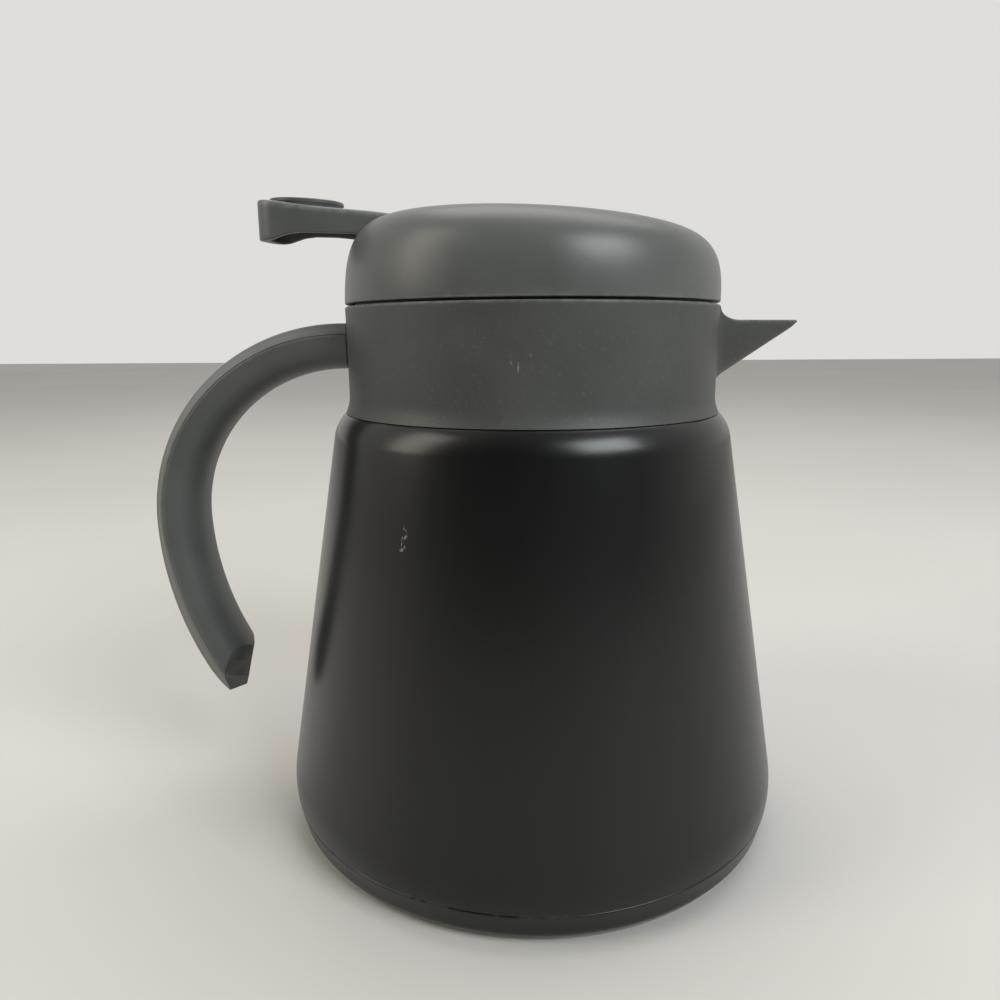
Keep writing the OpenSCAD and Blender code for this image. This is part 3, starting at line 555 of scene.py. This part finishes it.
def lever_low_z(x):
    """Lower edge of the lever's walls."""
    return np.interp(x, LEVER_LOW[:, 0], LEVER_LOW[:, 1])


def rolled(points):
    """The lever's play in its slot: z is more by LEVER_ROLL y, fading to nothing at the dome."""
    out = points.copy()
    fade = np.clip((ROLL_FROM - points[..., 0]) / ROLL_OVER, 0, 1)
    out[..., 2] += LEVER_ROLL * points[..., 1] * fade
    return out


def lever_tray():
    """The hollow lever as a tray turned upside down. Its outline runs round in plan, and the
    rows go up the outer wall, over the rounded edge, across the top to the middle line, and back
    underneath at the thickness of the wall."""
    corner, wall, roof = 6.0, 1.8, 2.0
    straight = np.linspace(LEVER_IN[0], LEVER_X + corner, 44)
    bend = arc(LEVER_X + corner, LEVER_W - corner, corner, 90, 180, 12)
    end_y = np.linspace(LEVER_W - corner, -LEVER_W + corner, 15)[1:-1]
    half = np.vstack([np.column_stack([straight, np.full(44, LEVER_W)]), bend[1:]])
    mirror = half[::-1] * [1, -1]
    inner_y = np.linspace(-LEVER_W, LEVER_W, 16)[1:-1]
    outline = np.vstack([half, np.column_stack([np.full(len(end_y), LEVER_X), end_y]), mirror,
                         np.column_stack([np.full(len(inner_y), LEVER_IN[0]), inner_y])])
    spine = np.clip(outline[:, 0], LEVER_X + LEVER_W, LEVER_IN[0] - 1.0)
    middle = np.column_stack([spine, np.zeros(len(spine))])
    step = np.roll(outline, -1, 0) - np.roll(outline, 1, 0)
    inward = np.column_stack([-step[:, 1], step[:, 0]]) / np.linalg.norm(step, axis=1)[:, None]
    if ((middle - outline) * inward).sum() < 0:
        inward = -inward
    low = lever_low_z(outline[:, 0])

    def row(plan, z):
        return np.column_stack([plan, z])

    rows = []
    soft = 0.45
    for f in (0, 30, 60):
        a = math.radians(f)
        rows.append(row(outline + inward * soft * (1 - math.sin(a)), low + soft * (1 - math.cos(a))))
    edge = 0.95
    for share in np.linspace(0, 1, 9):
        z = low + soft + (lever_top_z(outline[:, 0]) - edge - low - soft) * share
        groove = 0.16 * math.exp(-((share - 0.93) / 0.03) ** 2)
        rows.append(row(outline + inward * groove, z))
    for f in (22, 45, 68, 90):
        a = math.radians(f)
        plan = outline + inward * edge * (1 - math.cos(a))
        rows.append(row(plan, lever_top_z(plan[:, 0]) - edge * (1 - math.sin(a))))
    flat = outline + inward * edge
    for share in np.linspace(0, 1, 12)[1:]:
        plan = flat + (middle - flat) * share
        rows.append(row(plan, lever_top_z(plan[:, 0])))
    top_rows = len(rows)
    under = outline + inward * wall
    for share in np.linspace(1, 0, 10):
        plan = under + (middle - under) * share
        rows.append(row(plan, lever_top_z(plan[:, 0]) - roof))
    for share in np.linspace(1, 0, 7)[1:]:
        z = low + 0.3 + (lever_top_z(under[:, 0]) - roof - low - 0.3) * share
        rows.append(row(under, z))
    rows.append(row(outline + inward * (wall - 0.3), low))
    grid = rolled(np.stack(rows))
    wear_and_highlight = np.zeros(grid.shape[:2])
    # Painted highlight: the top of the walls and the rounded top edge are marked to be painted lighter.
    wear_and_highlight[3 + 9 - 1:3 + 9 + 4] = 1.0
    faces = grid_faces(len(rows), len(outline), True, True)
    row_at = faces[:, 0] // len(outline)
    return (grid.reshape(-1, 3), faces[row_at != top_rows - 1]), wear_and_highlight.reshape(-1)


def lever_arm():
    """Boss on the pin and the fork that reaches under the lift collar."""
    px, pz = PIVOT
    bar = np.array([[px, pz - 4.6], [px - 3, pz - 3], [px - 3, pz + 3], [px + 3, pz + 3], [-9.5, 140.5],
                    [-9.5, 135.9]])
    prong = np.vstack([[[-10.2, 140.45]], [[-10.2, 135.95]], arc(0, 138.5, 2.0, -90, 90, 10)])
    boss = arc(px, pz, 4.0, 0, 360, 32)[:-1]
    return join(extruded(bar, -7.5, 7.5), extruded(prong, 4.2, 7.45), extruded(prong, -7.45, -4.2),
                extruded(boss, -9.9, 9.9))


def thumb_pad_shape():
    """Thin round rest on a short foot on the lever: its shallow dome leans less than the lever,
    so that the foot under it is taller towards the lid. For each share of the radius the height
    hangs from the plane of the rest, z = z0 - k x, or stands on the lever."""
    r, cx = 9.3, -57.9
    profile = np.array([[0, 0], [0.2, 0.01], [0.4, 0.06], [0.6, 0.13], [0.75, 0.21], [0.88, 0.3],
                        [0.95, 0.38], [0.985, 0.46], [1.0, 0.6], [1.0, 0.9], [1.0, 1.25], [0.985, 1.4]])
    a = np.arange(120) * TURN / 120
    share = np.concatenate([profile[:, 0], [0.97, 0.97, 0]])[:, None]
    x = cx + r * share * np.cos(a)[None, :]
    y = r * share * np.sin(a)[None, :]
    hung = 166.3 - 0.05 * (x[:-3] - (cx - r)) - profile[:, 1:]
    stood = lever_top_z(x[-3:]) + np.array([[0.25], [0.02], [0.02]])
    hung = np.maximum(hung, lever_top_z(x[:-3]) + 0.05)
    points = np.stack([x, y, np.vstack([hung, stood])], axis=-1)
    return rolled(points).reshape(-1, 3), grid_faces(points.shape[0], 120, False, True)


# Materials

class Nodes:
    """Small helper that adds and links nodes of one material."""

    def __init__(self, name):
        self.material = bpy.data.materials.new(name)
        self.material.use_nodes = True
        self.tree = self.material.node_tree
        self.shader = self.tree.nodes["Principled BSDF"]
        self.place = self.add("ShaderNodeTexCoord").outputs["Object"]

    def add(self, kind, **settings):
        node = self.tree.nodes.new(kind)
        for key, value in settings.items():
            if key in node.inputs:
                node.inputs[key].default_value = value
            else:
                setattr(node, key, value)
        return node

    def link(self, a, b):
        self.tree.links.new(a, b)

    def noise(self, scale, detail=3.0, stretch=None, distortion=0.0):
        node = self.add("ShaderNodeTexNoise")
        node.inputs["Scale"].default_value = scale
        node.inputs["Detail"].default_value = detail
        node.inputs["Distortion"].default_value = distortion
        place = self.place
        if stretch:
            mapping = self.add("ShaderNodeMapping")
            mapping.inputs["Scale"].default_value = stretch
            self.link(place, mapping.inputs["Vector"])
            place = mapping.outputs["Vector"]
        self.link(place, node.inputs["Vector"])
        return node.outputs["Fac"]

    def ramp(self, value, low, high, out_low=0.0, out_high=1.0):
        node = self.add("ShaderNodeMapRange")
        node.clamp = True
        keys = ("From Min", "From Max", "To Min", "To Max")
        for key, number in zip(keys, (low, high, out_low, out_high)):
            node.inputs[key].default_value = number
        self.link(value, node.inputs["Value"])
        return node.outputs["Result"]

    def maths(self, kind, a, b):
        node = self.add("ShaderNodeMath")
        node.operation = kind
        for socket, value in zip(node.inputs, (a, b)):
            if isinstance(value, (int, float)):
                socket.default_value = value
            else:
                self.link(value, socket)
        return node.outputs["Value"]

    def mix(self, factor, a, b):
        node = self.add("ShaderNodeMix")
        node.data_type = "RGBA"
        self.link(factor, node.inputs[0])
        for socket, value in zip((node.inputs[6], node.inputs[7]), (a, b)):
            if isinstance(value, tuple):
                socket.default_value = (*value, 1.0)
            else:
                self.link(value, socket)
        return node.outputs[2]

    def bump(self, height, strength, distance, normal=None):
        node = self.add("ShaderNodeBump")
        node.inputs["Strength"].default_value = strength
        node.inputs["Distance"].default_value = distance
        self.link(height, node.inputs["Height"])
        if normal is not None:
            self.link(normal, node.inputs["Normal"])
        return node.outputs["Normal"]

    def spot(self, centre, size, stretch=(1, 1, 1)):
        """1 within an oval of radius size round a point in metres, falling to 0 just outside."""
        mapping = self.add("ShaderNodeMapping")
        mapping.vector_type = "POINT"
        mapping.inputs["Location"].default_value = [-c * s for c, s in zip(centre, stretch)]
        mapping.inputs["Scale"].default_value = stretch
        self.link(self.place, mapping.inputs["Vector"])
        length = self.add("ShaderNodeVectorMath")
        length.operation = "LENGTH"
        self.link(mapping.outputs["Vector"], length.inputs[0])
        return self.ramp(length.outputs["Value"], size * 0.7, size, 1.0, 0.0)


def shade(colour, share):
    """The colour with each channel times a share."""
    return tuple(c * share for c in colour)


def plastic(name, colour, rough, grain, wear_and_highlight_colour=(0.20, 0.205, 0.195), marks=(), specks=0.0):
    """Grained plastic: a fine moulded grain, faint cloudy sheen, edges painted lighter by the
    wear_and_highlight attribute (a painted highlight on the handle's ridge and the lever's top edge),
    a few scuffs and, where specks is set, lighter grains."""
    n = Nodes(name)
    cloud = n.noise(38.0, 4.0)
    grain_noise = n.noise(2600.0, 2.0)
    base = n.mix(n.ramp(cloud, 0.35, 0.68), shade(colour, 0.86), shade(colour, 1.22))
    bright = n.ramp(n.noise(1150.0, 2.0), 0.60, 0.72, 0.0, specks)
    base = n.mix(bright, base, wear_and_highlight_colour)
    # Edges painted lighter from the attribute: along the collar's top edge and the lid's rim, and as a
    # painted highlight along the handle's ridge and the lever's top edge.
    wear_and_highlight_mask = n.add("ShaderNodeAttribute", attribute_name="wear_and_highlight").outputs["Fac"]
    broken = n.ramp(n.noise(420.0, 3.0), 0.38, 0.62, 0.35, 1.0)
    edge = n.maths("MULTIPLY", wear_and_highlight_mask, broken)
    base = n.mix(n.maths("MULTIPLY", edge, 0.55), base, wear_and_highlight_colour)
    scuff_noise = n.ramp(n.noise(900.0, 4.0, stretch=(1, 1, 0.25)), 0.60, 0.68)
    total = None
    for centre, size, stretch in marks:
        found = n.maths("MULTIPLY", n.spot(centre, size, stretch), scuff_noise)
        total = found if total is None else n.maths("MAXIMUM", total, found)
    if total is not None:
        base = n.mix(n.maths("MULTIPLY", total, 0.6), base, (0.30, 0.31, 0.30))
    n.link(base, n.shader.inputs["Base Color"])
    n.link(n.ramp(cloud, 0.3, 0.7, rough - 0.04, rough + 0.05), n.shader.inputs["Roughness"])
    n.shader.inputs["IOR"].default_value = 1.47
    n.link(n.bump(grain_noise, grain, 0.00006), n.shader.inputs["Normal"])
    return n.material


def paint(name, colour, rough, marks):
    """Satin paint on steel: faint orange peel, dust-fine specks, small chips down to the primer
    and hairline scratches."""
    n = Nodes(name)
    cloud = n.noise(22.0, 5.0)
    peel = n.noise(900.0, 2.0)
    base = n.mix(n.ramp(cloud, 0.3, 0.7), shade(colour, 0.85), shade(colour, 1.25))
    dust = n.ramp(n.noise(1900.0, 1.0), 0.80, 0.86)
    chips = n.ramp(n.noise(1300.0, 3.0, stretch=(1, 1, 0.6)), 0.53, 0.58)
    total = None
    for centre, size, stretch, solid in marks:
        found = n.spot(centre, size, stretch)
        if not solid:
            found = n.maths("MULTIPLY", found, chips)
        total = found if total is None else n.maths("MAXIMUM", total, found)
    base = n.mix(n.maths("MULTIPLY", dust, 0.25), base, (0.12, 0.12, 0.12))
    base = n.mix(n.maths("MULTIPLY", total, 0.55), base, (0.34, 0.34, 0.32))
    wear_and_highlight_mask = n.add("ShaderNodeAttribute", attribute_name="wear_and_highlight").outputs["Fac"]
    dashes = n.ramp(n.noise(260.0, 2.0, stretch=(1, 1, 0.2)), 0.50, 0.60)
    base = n.mix(n.maths("MULTIPLY", n.maths("MULTIPLY", wear_and_highlight_mask, dashes), 0.22), base, (0.20, 0.19, 0.17))
    n.link(base, n.shader.inputs["Base Color"])
    smudge = n.noise(14.0, 6.0, stretch=(1, 1, 0.5), distortion=0.6)
    n.link(n.ramp(smudge, 0.35, 0.7, rough - 0.03, rough + 0.06), n.shader.inputs["Roughness"])
    n.shader.inputs["IOR"].default_value = 1.45
    n.link(n.bump(total, 0.6, 0.00008, n.bump(peel, 0.10, 0.00005)), n.shader.inputs["Normal"])
    return n.material


def metal(name, colour, rough, stretch=(1, 1, 60)):
    """Drawn or turned steel with fine lines and slight tarnish."""
    n = Nodes(name)
    lines = n.noise(180.0, 4.0, stretch=stretch)
    cloud = n.noise(30.0, 4.0)
    base = n.mix(n.ramp(cloud, 0.3, 0.75), colour, shade(colour, 0.8))
    n.link(base, n.shader.inputs["Base Color"])
    n.link(n.ramp(lines, 0.3, 0.7, rough - 0.08, rough + 0.1), n.shader.inputs["Roughness"])
    n.shader.inputs["Metallic"].default_value = 1.0
    n.link(n.bump(lines, 0.12, 0.00005), n.shader.inputs["Normal"])
    return n.material


def rubber(name, colour, rough=0.6):
    """Soft ring or pad: dull, slightly mottled, with a fine pitted grain."""
    n = Nodes(name)
    cloud = n.noise(60.0, 4.0)
    pits = n.noise(2200.0, 3.0)
    base = n.mix(n.ramp(cloud, 0.3, 0.7), shade(colour, 0.88), shade(colour, 1.1))
    n.link(base, n.shader.inputs["Base Color"])
    n.link(n.ramp(cloud, 0.3, 0.7, rough - 0.05, rough + 0.08), n.shader.inputs["Roughness"])
    n.shader.inputs["IOR"].default_value = 1.43
    n.link(n.bump(pits, 0.2, 0.00006), n.shader.inputs["Normal"])
    return n.material


# Places of wear seen in the photo, in metres
BODY_MARKS = [
    ((-0.0300, -0.0480, 0.0885), 0.0020, (1.5, 1, 0.42), False),
    ((-0.0306, -0.0479, 0.0858), 0.0014, (1.2, 1, 0.6), False),
    ((0.0440, -0.0330, 0.1075), 0.00035, (1, 1, 1), True),
    ((-0.0140, -0.0520, 0.1060), 0.00028, (1, 1, 1), True),
    ((0.0240, -0.0580, 0.0790), 0.00025, (1, 1, 1), True),
    ((0.0480, -0.0420, 0.0570), 0.0003, (1, 1, 1), True),
    ((0.0480, -0.0470, 0.0250), 0.00028, (1, 1, 1), True),
    ((0.0180, -0.0570, 0.0760), 0.0015, (0.55, 1, 3.0), False),
]
LID_MARKS = [
    ((-0.0060, -0.0478, 0.1465), 0.0010, (1, 1, 1.4)),
    ((0.0250, -0.0410, 0.1500), 0.0008, (1, 1, 0.6)),
]
COLLAR_MARKS = [
    ((-0.0052, -0.0480, 0.1262), 0.0018, (1.4, 1, 0.5)),
    ((-0.0015, -0.0484, 0.1268), 0.0008, (1, 1, 1)),
]

# Soft lights: name, place, aim, sides, share of the power, colour
LIGHTS = [
    ("top light", (0.10, 0.35, 1.20), (0, 0, 0.1), (1.2, 0.8), 1.3, (1.0, 0.99, 0.96)),
    ("left light", (-1.0, -0.29, 0.72), (0, 0, 0.12), (0.45, 0.9), 1.05, (1.0, 0.95, 0.80)),
    ("right light", (0.68, -0.70, 0.82), (0, 0, 0.12), (0.62, 0.52), 2.1, (0.92, 0.98, 1.0)),
]


# Settings

class CarafeFinish(PropertyGroup):
    """Settings of the finishes and of the lean of the lid."""

    lid_lean: FloatProperty(
        name="Lid lean", description="Slope of the lid's crown, higher at the handle",
        default=0.051, min=0.0, max=0.08)
    paint_colour: FloatVectorProperty(
        name="Paint", description="Colour of the painted steel", subtype="COLOR", size=3,
        default=(0.0034, 0.0035, 0.0037), min=0.0, max=1.0)
    paint_rough: FloatProperty(
        name="Paint roughness", description="Roughness of the painted steel", default=0.27, min=0.05, max=1.0)
    plastic_colour: FloatVectorProperty(
        name="Plastic", description="Colour of the grey mouldings", subtype="COLOR", size=3,
        default=(0.067, 0.070, 0.067), min=0.0, max=1.0)
    plastic_rough: FloatProperty(
        name="Plastic roughness", description="Roughness of the grey mouldings", default=0.42, min=0.05,
        max=1.0)
    grain: FloatProperty(
        name="Grain", description="Strength of the moulded grain", default=0.16, min=0.0, max=1.0)


class CarafeStudio(PropertyGroup):
    """Settings of the floor, the lights and the camera."""

    floor_size: FloatProperty(
        name="Floor", description="Side of the square floor", unit="LENGTH", default=8.0, min=1.0)
    light: FloatProperty(
        name="Light", description="Power in watts that each soft light has a share of", default=5.0,
        min=0.0)
    lens: FloatProperty(
        name="Lens", description="Focal length in millimetres on a 36 mm sensor", default=28.0, min=10.0)
    camera_place: FloatVectorProperty(
        name="Camera", description="Place of the camera", subtype="XYZ", unit="LENGTH", size=3,
        default=(-0.0085, -0.2126, 0.1311))
    camera_pitch: FloatProperty(
        name="Pitch", description="Angle of the camera below the horizon", unit="ROTATION",
        default=math.radians(11.9))
    camera_roll: FloatProperty(
        name="Roll", description="Turn of the camera about its own axis", unit="ROTATION",
        default=math.radians(-0.32))


# Operators

class CARAFE_OT_flask(Operator):
    """Make the painted shell, the base cup and the rest pad"""

    bl_idname = "carafe.flask"
    bl_label = "Flask"

    def execute(self, context):
        finish = context.scene.carafe_finish
        coat = paint("satin black paint", tuple(finish.paint_colour), finish.paint_rough, BODY_MARKS)
        line = sheet_line(shell_line(), STEEL)
        shell, faces = revolved(line, 320)
        wear_and_highlight_mask = np.exp(-((shell[:, 2] - CREASE_Z) / 0.35) ** 2)
        piece("painted_shell", (shell, faces), "flask", coat, ("outer_shell",),
              sharp=60, attribute=wear_and_highlight_mask)
        cup, faces = revolved(sheet_line(cup_line(), STEEL), 320)
        wear_and_highlight_mask = np.exp(-((cup[:, 2] - CREASE_Z) / 0.35) ** 2)
        piece("painted_cup", (cup, faces), "flask", coat, ("base_cup",), sharp=60,
              attribute=wear_and_highlight_mask)
        pad = rubber("rest pad", (0.24, 0.235, 0.22))
        piece("rest_pad", revolved(pad_line(), 256, False), "flask", pad, ("base_pad",),
              sharp=60)
        return {"FINISHED"}


class CARAFE_OT_collar(Operator):
    """Make the collar with its beak, trough and handle stub"""

    bl_idname = "carafe.collar"
    bl_label = "Collar"

    def execute(self, context):
        finish = context.scene.carafe_finish
        shape, wear_and_highlight_mask = collar_shape()
        whole = join(shape, stub_shape(), tongue_shape())
        look = plastic("collar plastic", shade(finish.plastic_colour, 0.72), finish.plastic_rough + 0.08,
                       finish.grain * 1.5, marks=COLLAR_MARKS, specks=0.10)
        piece("collar_with_beak", whole, "flask", look, ("collar",), sharp=42, attribute=wear_and_highlight_mask)
        return {"FINISHED"}


class CARAFE_OT_handle(Operator):
    """Make the two halves of the open handle"""

    bl_idname = "carafe.handle"
    bl_label = "Handle"

    def execute(self, context):
        finish = context.scene.carafe_finish
        # The outer band is coloured much lighter than the inner half: painted light on the band's
        # upward-facing side.
        for name, node, section, tone_with_painted_light in (("handle_inner_half", "handle_grip", grip_section(), 1.15),
                                          ("handle_outer_band", "handle_cap", cap_section(), 1.75)):
            look = plastic(name.replace("_", " "), shade(finish.plastic_colour, tone_with_painted_light),
                           finish.plastic_rough + 0.03, finish.grain)
            shape = swept_handle(section)
            u = np.tile(section[:, 0], len(shape[0]) // len(section))
            w = np.tile(np.abs(section[:, 1]), len(shape[0]) // len(section))
            # Painted highlight: a lighter strip along the ridge on both flanks, broken up by the plastic's
            # edge noise.
            wear_and_highlight_mask = np.exp(-((u - RIDGE) / 0.4) ** 2) * (w > 9.3) * 0.7
            piece(name, shape, "flask", look, (node,), sharp=50, bevel=0.22, attribute=wear_and_highlight_mask)
        return {"FINISHED"}


class CARAFE_OT_lid(Operator):
    """Make the domed lid cover with its slot"""

    bl_idname = "carafe.lid"
    bl_label = "Lid cover"

    def execute(self, context):
        finish = context.scene.carafe_finish
        shape, wear_and_highlight_mask = lid_shape(finish.lid_lean)
        look = plastic("lid plastic", shade(finish.plastic_colour, 1.18), finish.plastic_rough - 0.06,
                       finish.grain * 0.7, marks=LID_MARKS, specks=0.03)
        piece("domed_cover", shape, "lid", look, ("lid_cover",), sharp=42, attribute=wear_and_highlight_mask)
        return {"FINISHED"}


class CARAFE_OT_lever(Operator):
    """Make the thumb lever and its round pad"""

    bl_idname = "carafe.lever"
    bl_label = "Thumb lever"

    def execute(self, context):
        finish = context.scene.carafe_finish
        look = plastic("lever plastic", shade(finish.plastic_colour, 1.25), finish.plastic_rough,
                       finish.grain * 0.8)
        tray, wear_and_highlight_mask = lever_tray()
        piece("hollow_lever", join(tray, lever_arm()), "lever", look, ("thumb_lever",),
              sharp=45, attribute=wear_and_highlight_mask)
        piece("round_pad", thumb_pad_shape(), "lever", look, ("thumb_pad",), sharp=40)
        return {"FINISHED"}


class CARAFE_OT_inner(Operator):
    """Give the carried-over inner pieces their materials"""

    bl_idname = "carafe.inner"
    bl_label = "Inner pieces"

    def execute(self, context):
        steel = metal("satin steel", (0.60, 0.60, 0.59), 0.30)
        bright = metal("bright steel", (0.62, 0.62, 0.63), 0.25, (1, 1, 1))
        foil = metal("foil", (0.80, 0.80, 0.80), 0.18, (8, 8, 1))
        pellet = rubber("sintered pellet", (0.25, 0.25, 0.26), 0.8)
        white = plastic("natural plastic", (0.58, 0.58, 0.55), 0.45, 0.1, (0.65, 0.65, 0.62))
        dark = plastic("dark plastic", (0.030, 0.030, 0.030), 0.5, 0.15)
        soft = rubber("silicone", (0.50, 0.50, 0.47))
        looks = {
            "inner_flask": steel, "inner_bottom": steel, "vacuum_seal": bright, "heat_foil": foil,
            "getter": pellet, "neck_gasket": soft, "handle_screws": bright, "lid_base": dark,
            "lid_gasket": soft, "lid_screws": bright, "lever_pin": bright, "stem_guide": white,
            "stem_seal": soft, "valve_spring": bright, "valve_stem": white, "lift_collar": dark,
            "stem_clip": bright, "valve_disc": white, "valve_seal": soft, "seal_clip": bright,
        }
        for name, material in looks.items():
            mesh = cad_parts[name].data
            mesh.materials.clear()
            mesh.materials.append(material)
        return {"FINISHED"}


class CARAFE_OT_studio(Operator):
    """Make the floor, the lights and the camera"""

    bl_idname = "carafe.studio"
    bl_label = "Studio"

    def execute(self, context):
        studio = context.scene.carafe_studio
        half = studio.floor_size / 2
        mesh = bpy.data.meshes.new("floor")
        mesh.from_pydata([(-half, -half, 0), (half, -half, 0), (half, half, 0), (-half, half, 0)], [],
                         [(0, 1, 2, 3)])
        floor = bpy.data.objects.new("floor", mesh)
        context.scene.collection.objects.link(floor)
        n = Nodes("pale floor")
        cloud = n.noise(3.0, 5.0)
        base = n.mix(n.ramp(cloud, 0.3, 0.7), (0.52, 0.505, 0.48), (0.56, 0.545, 0.52))
        n.link(base, n.shader.inputs["Base Color"])
        n.shader.inputs["Roughness"].default_value = 0.6
        mesh.materials.append(n.material)
        for name, place, aim, size, share, colour in LIGHTS:
            light = bpy.data.lights.new(name, "AREA")
            light.shape = "RECTANGLE"
            light.size, light.size_y = size
            light.energy = studio.light * share
            light.color = colour
            lamp = bpy.data.objects.new(name, light)
            lamp.location = place
            lamp.rotation_euler = (Vector(aim) - Vector(place)).to_track_quat("-Z", "Y").to_euler()
            context.scene.collection.objects.link(lamp)
        world = bpy.data.worlds.new("soft studio")
        world.use_nodes = True
        tree = world.node_tree
        sky = tree.nodes["Background"]
        sky.inputs["Color"].default_value = (1.0, 0.985, 0.955, 1.0)
        ways = tree.nodes.new("ShaderNodeSeparateXYZ")
        tree.links.new(tree.nodes.new("ShaderNodeTexCoord").outputs["Generated"], ways.inputs["Vector"])
        fade = tree.nodes.new("ShaderNodeMapRange")
        fade.interpolation_type = "SMOOTHSTEP"
        for key, number in (("From Min", -0.9), ("From Max", 0.35), ("To Min", 0.07), ("To Max", 0.74)):
            fade.inputs[key].default_value = number
        tree.links.new(ways.outputs["Y"], fade.inputs["Value"])
        tree.links.new(fade.outputs["Result"], sky.inputs["Strength"])
        context.scene.world = world
        camera = bpy.data.cameras.new("camera")
        camera.lens = studio.lens
        camera.sensor_width = 36.0
        camera.clip_start = 0.01
        eye = bpy.data.objects.new("camera", camera)
        eye.location = studio.camera_place
        turn = Euler((math.pi / 2 - studio.camera_pitch, 0, 0)).to_matrix()
        roll = Euler((0, 0, studio.camera_roll)).to_matrix()
        eye.rotation_euler = (turn @ roll).to_euler()
        context.scene.collection.objects.link(eye)
        context.scene.camera = eye
        context.scene.view_settings.view_transform = "Standard"
        return {"FINISHED"}


class CARAFE_PT_panel(Panel):
    """Buttons and settings of the carafe"""

    bl_idname = "CARAFE_PT_panel"
    bl_label = "Thermal carafe"
    bl_space_type = "VIEW_3D"
    bl_region_type = "UI"
    bl_category = "Carafe"

    def draw(self, context):
        for group in (context.scene.carafe_finish, context.scene.carafe_studio):
            for name in group.__annotations__:
                self.layout.prop(group, name)
        for cls in OPERATORS:
            self.layout.operator(cls.bl_idname)


OPERATORS = (CARAFE_OT_flask, CARAFE_OT_collar, CARAFE_OT_handle, CARAFE_OT_lid, CARAFE_OT_lever,
             CARAFE_OT_inner, CARAFE_OT_studio)
CLASSES = (CarafeFinish, CarafeStudio, *OPERATORS, CARAFE_PT_panel)


def register():
    for cls in CLASSES:
        bpy.utils.register_class(cls)
    bpy.types.Scene.carafe_finish = PointerProperty(type=CarafeFinish)
    bpy.types.Scene.carafe_studio = PointerProperty(type=CarafeStudio)


def unregister():
    del bpy.types.Scene.carafe_studio
    del bpy.types.Scene.carafe_finish
    for cls in reversed(CLASSES):
        bpy.utils.unregister_class(cls)


def main():
    register()
    for cls in OPERATORS:
        group, name = cls.bl_idname.split(".")
        getattr(getattr(bpy.ops, group), name)()
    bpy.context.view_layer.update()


if __name__ == "__main__":
    main()
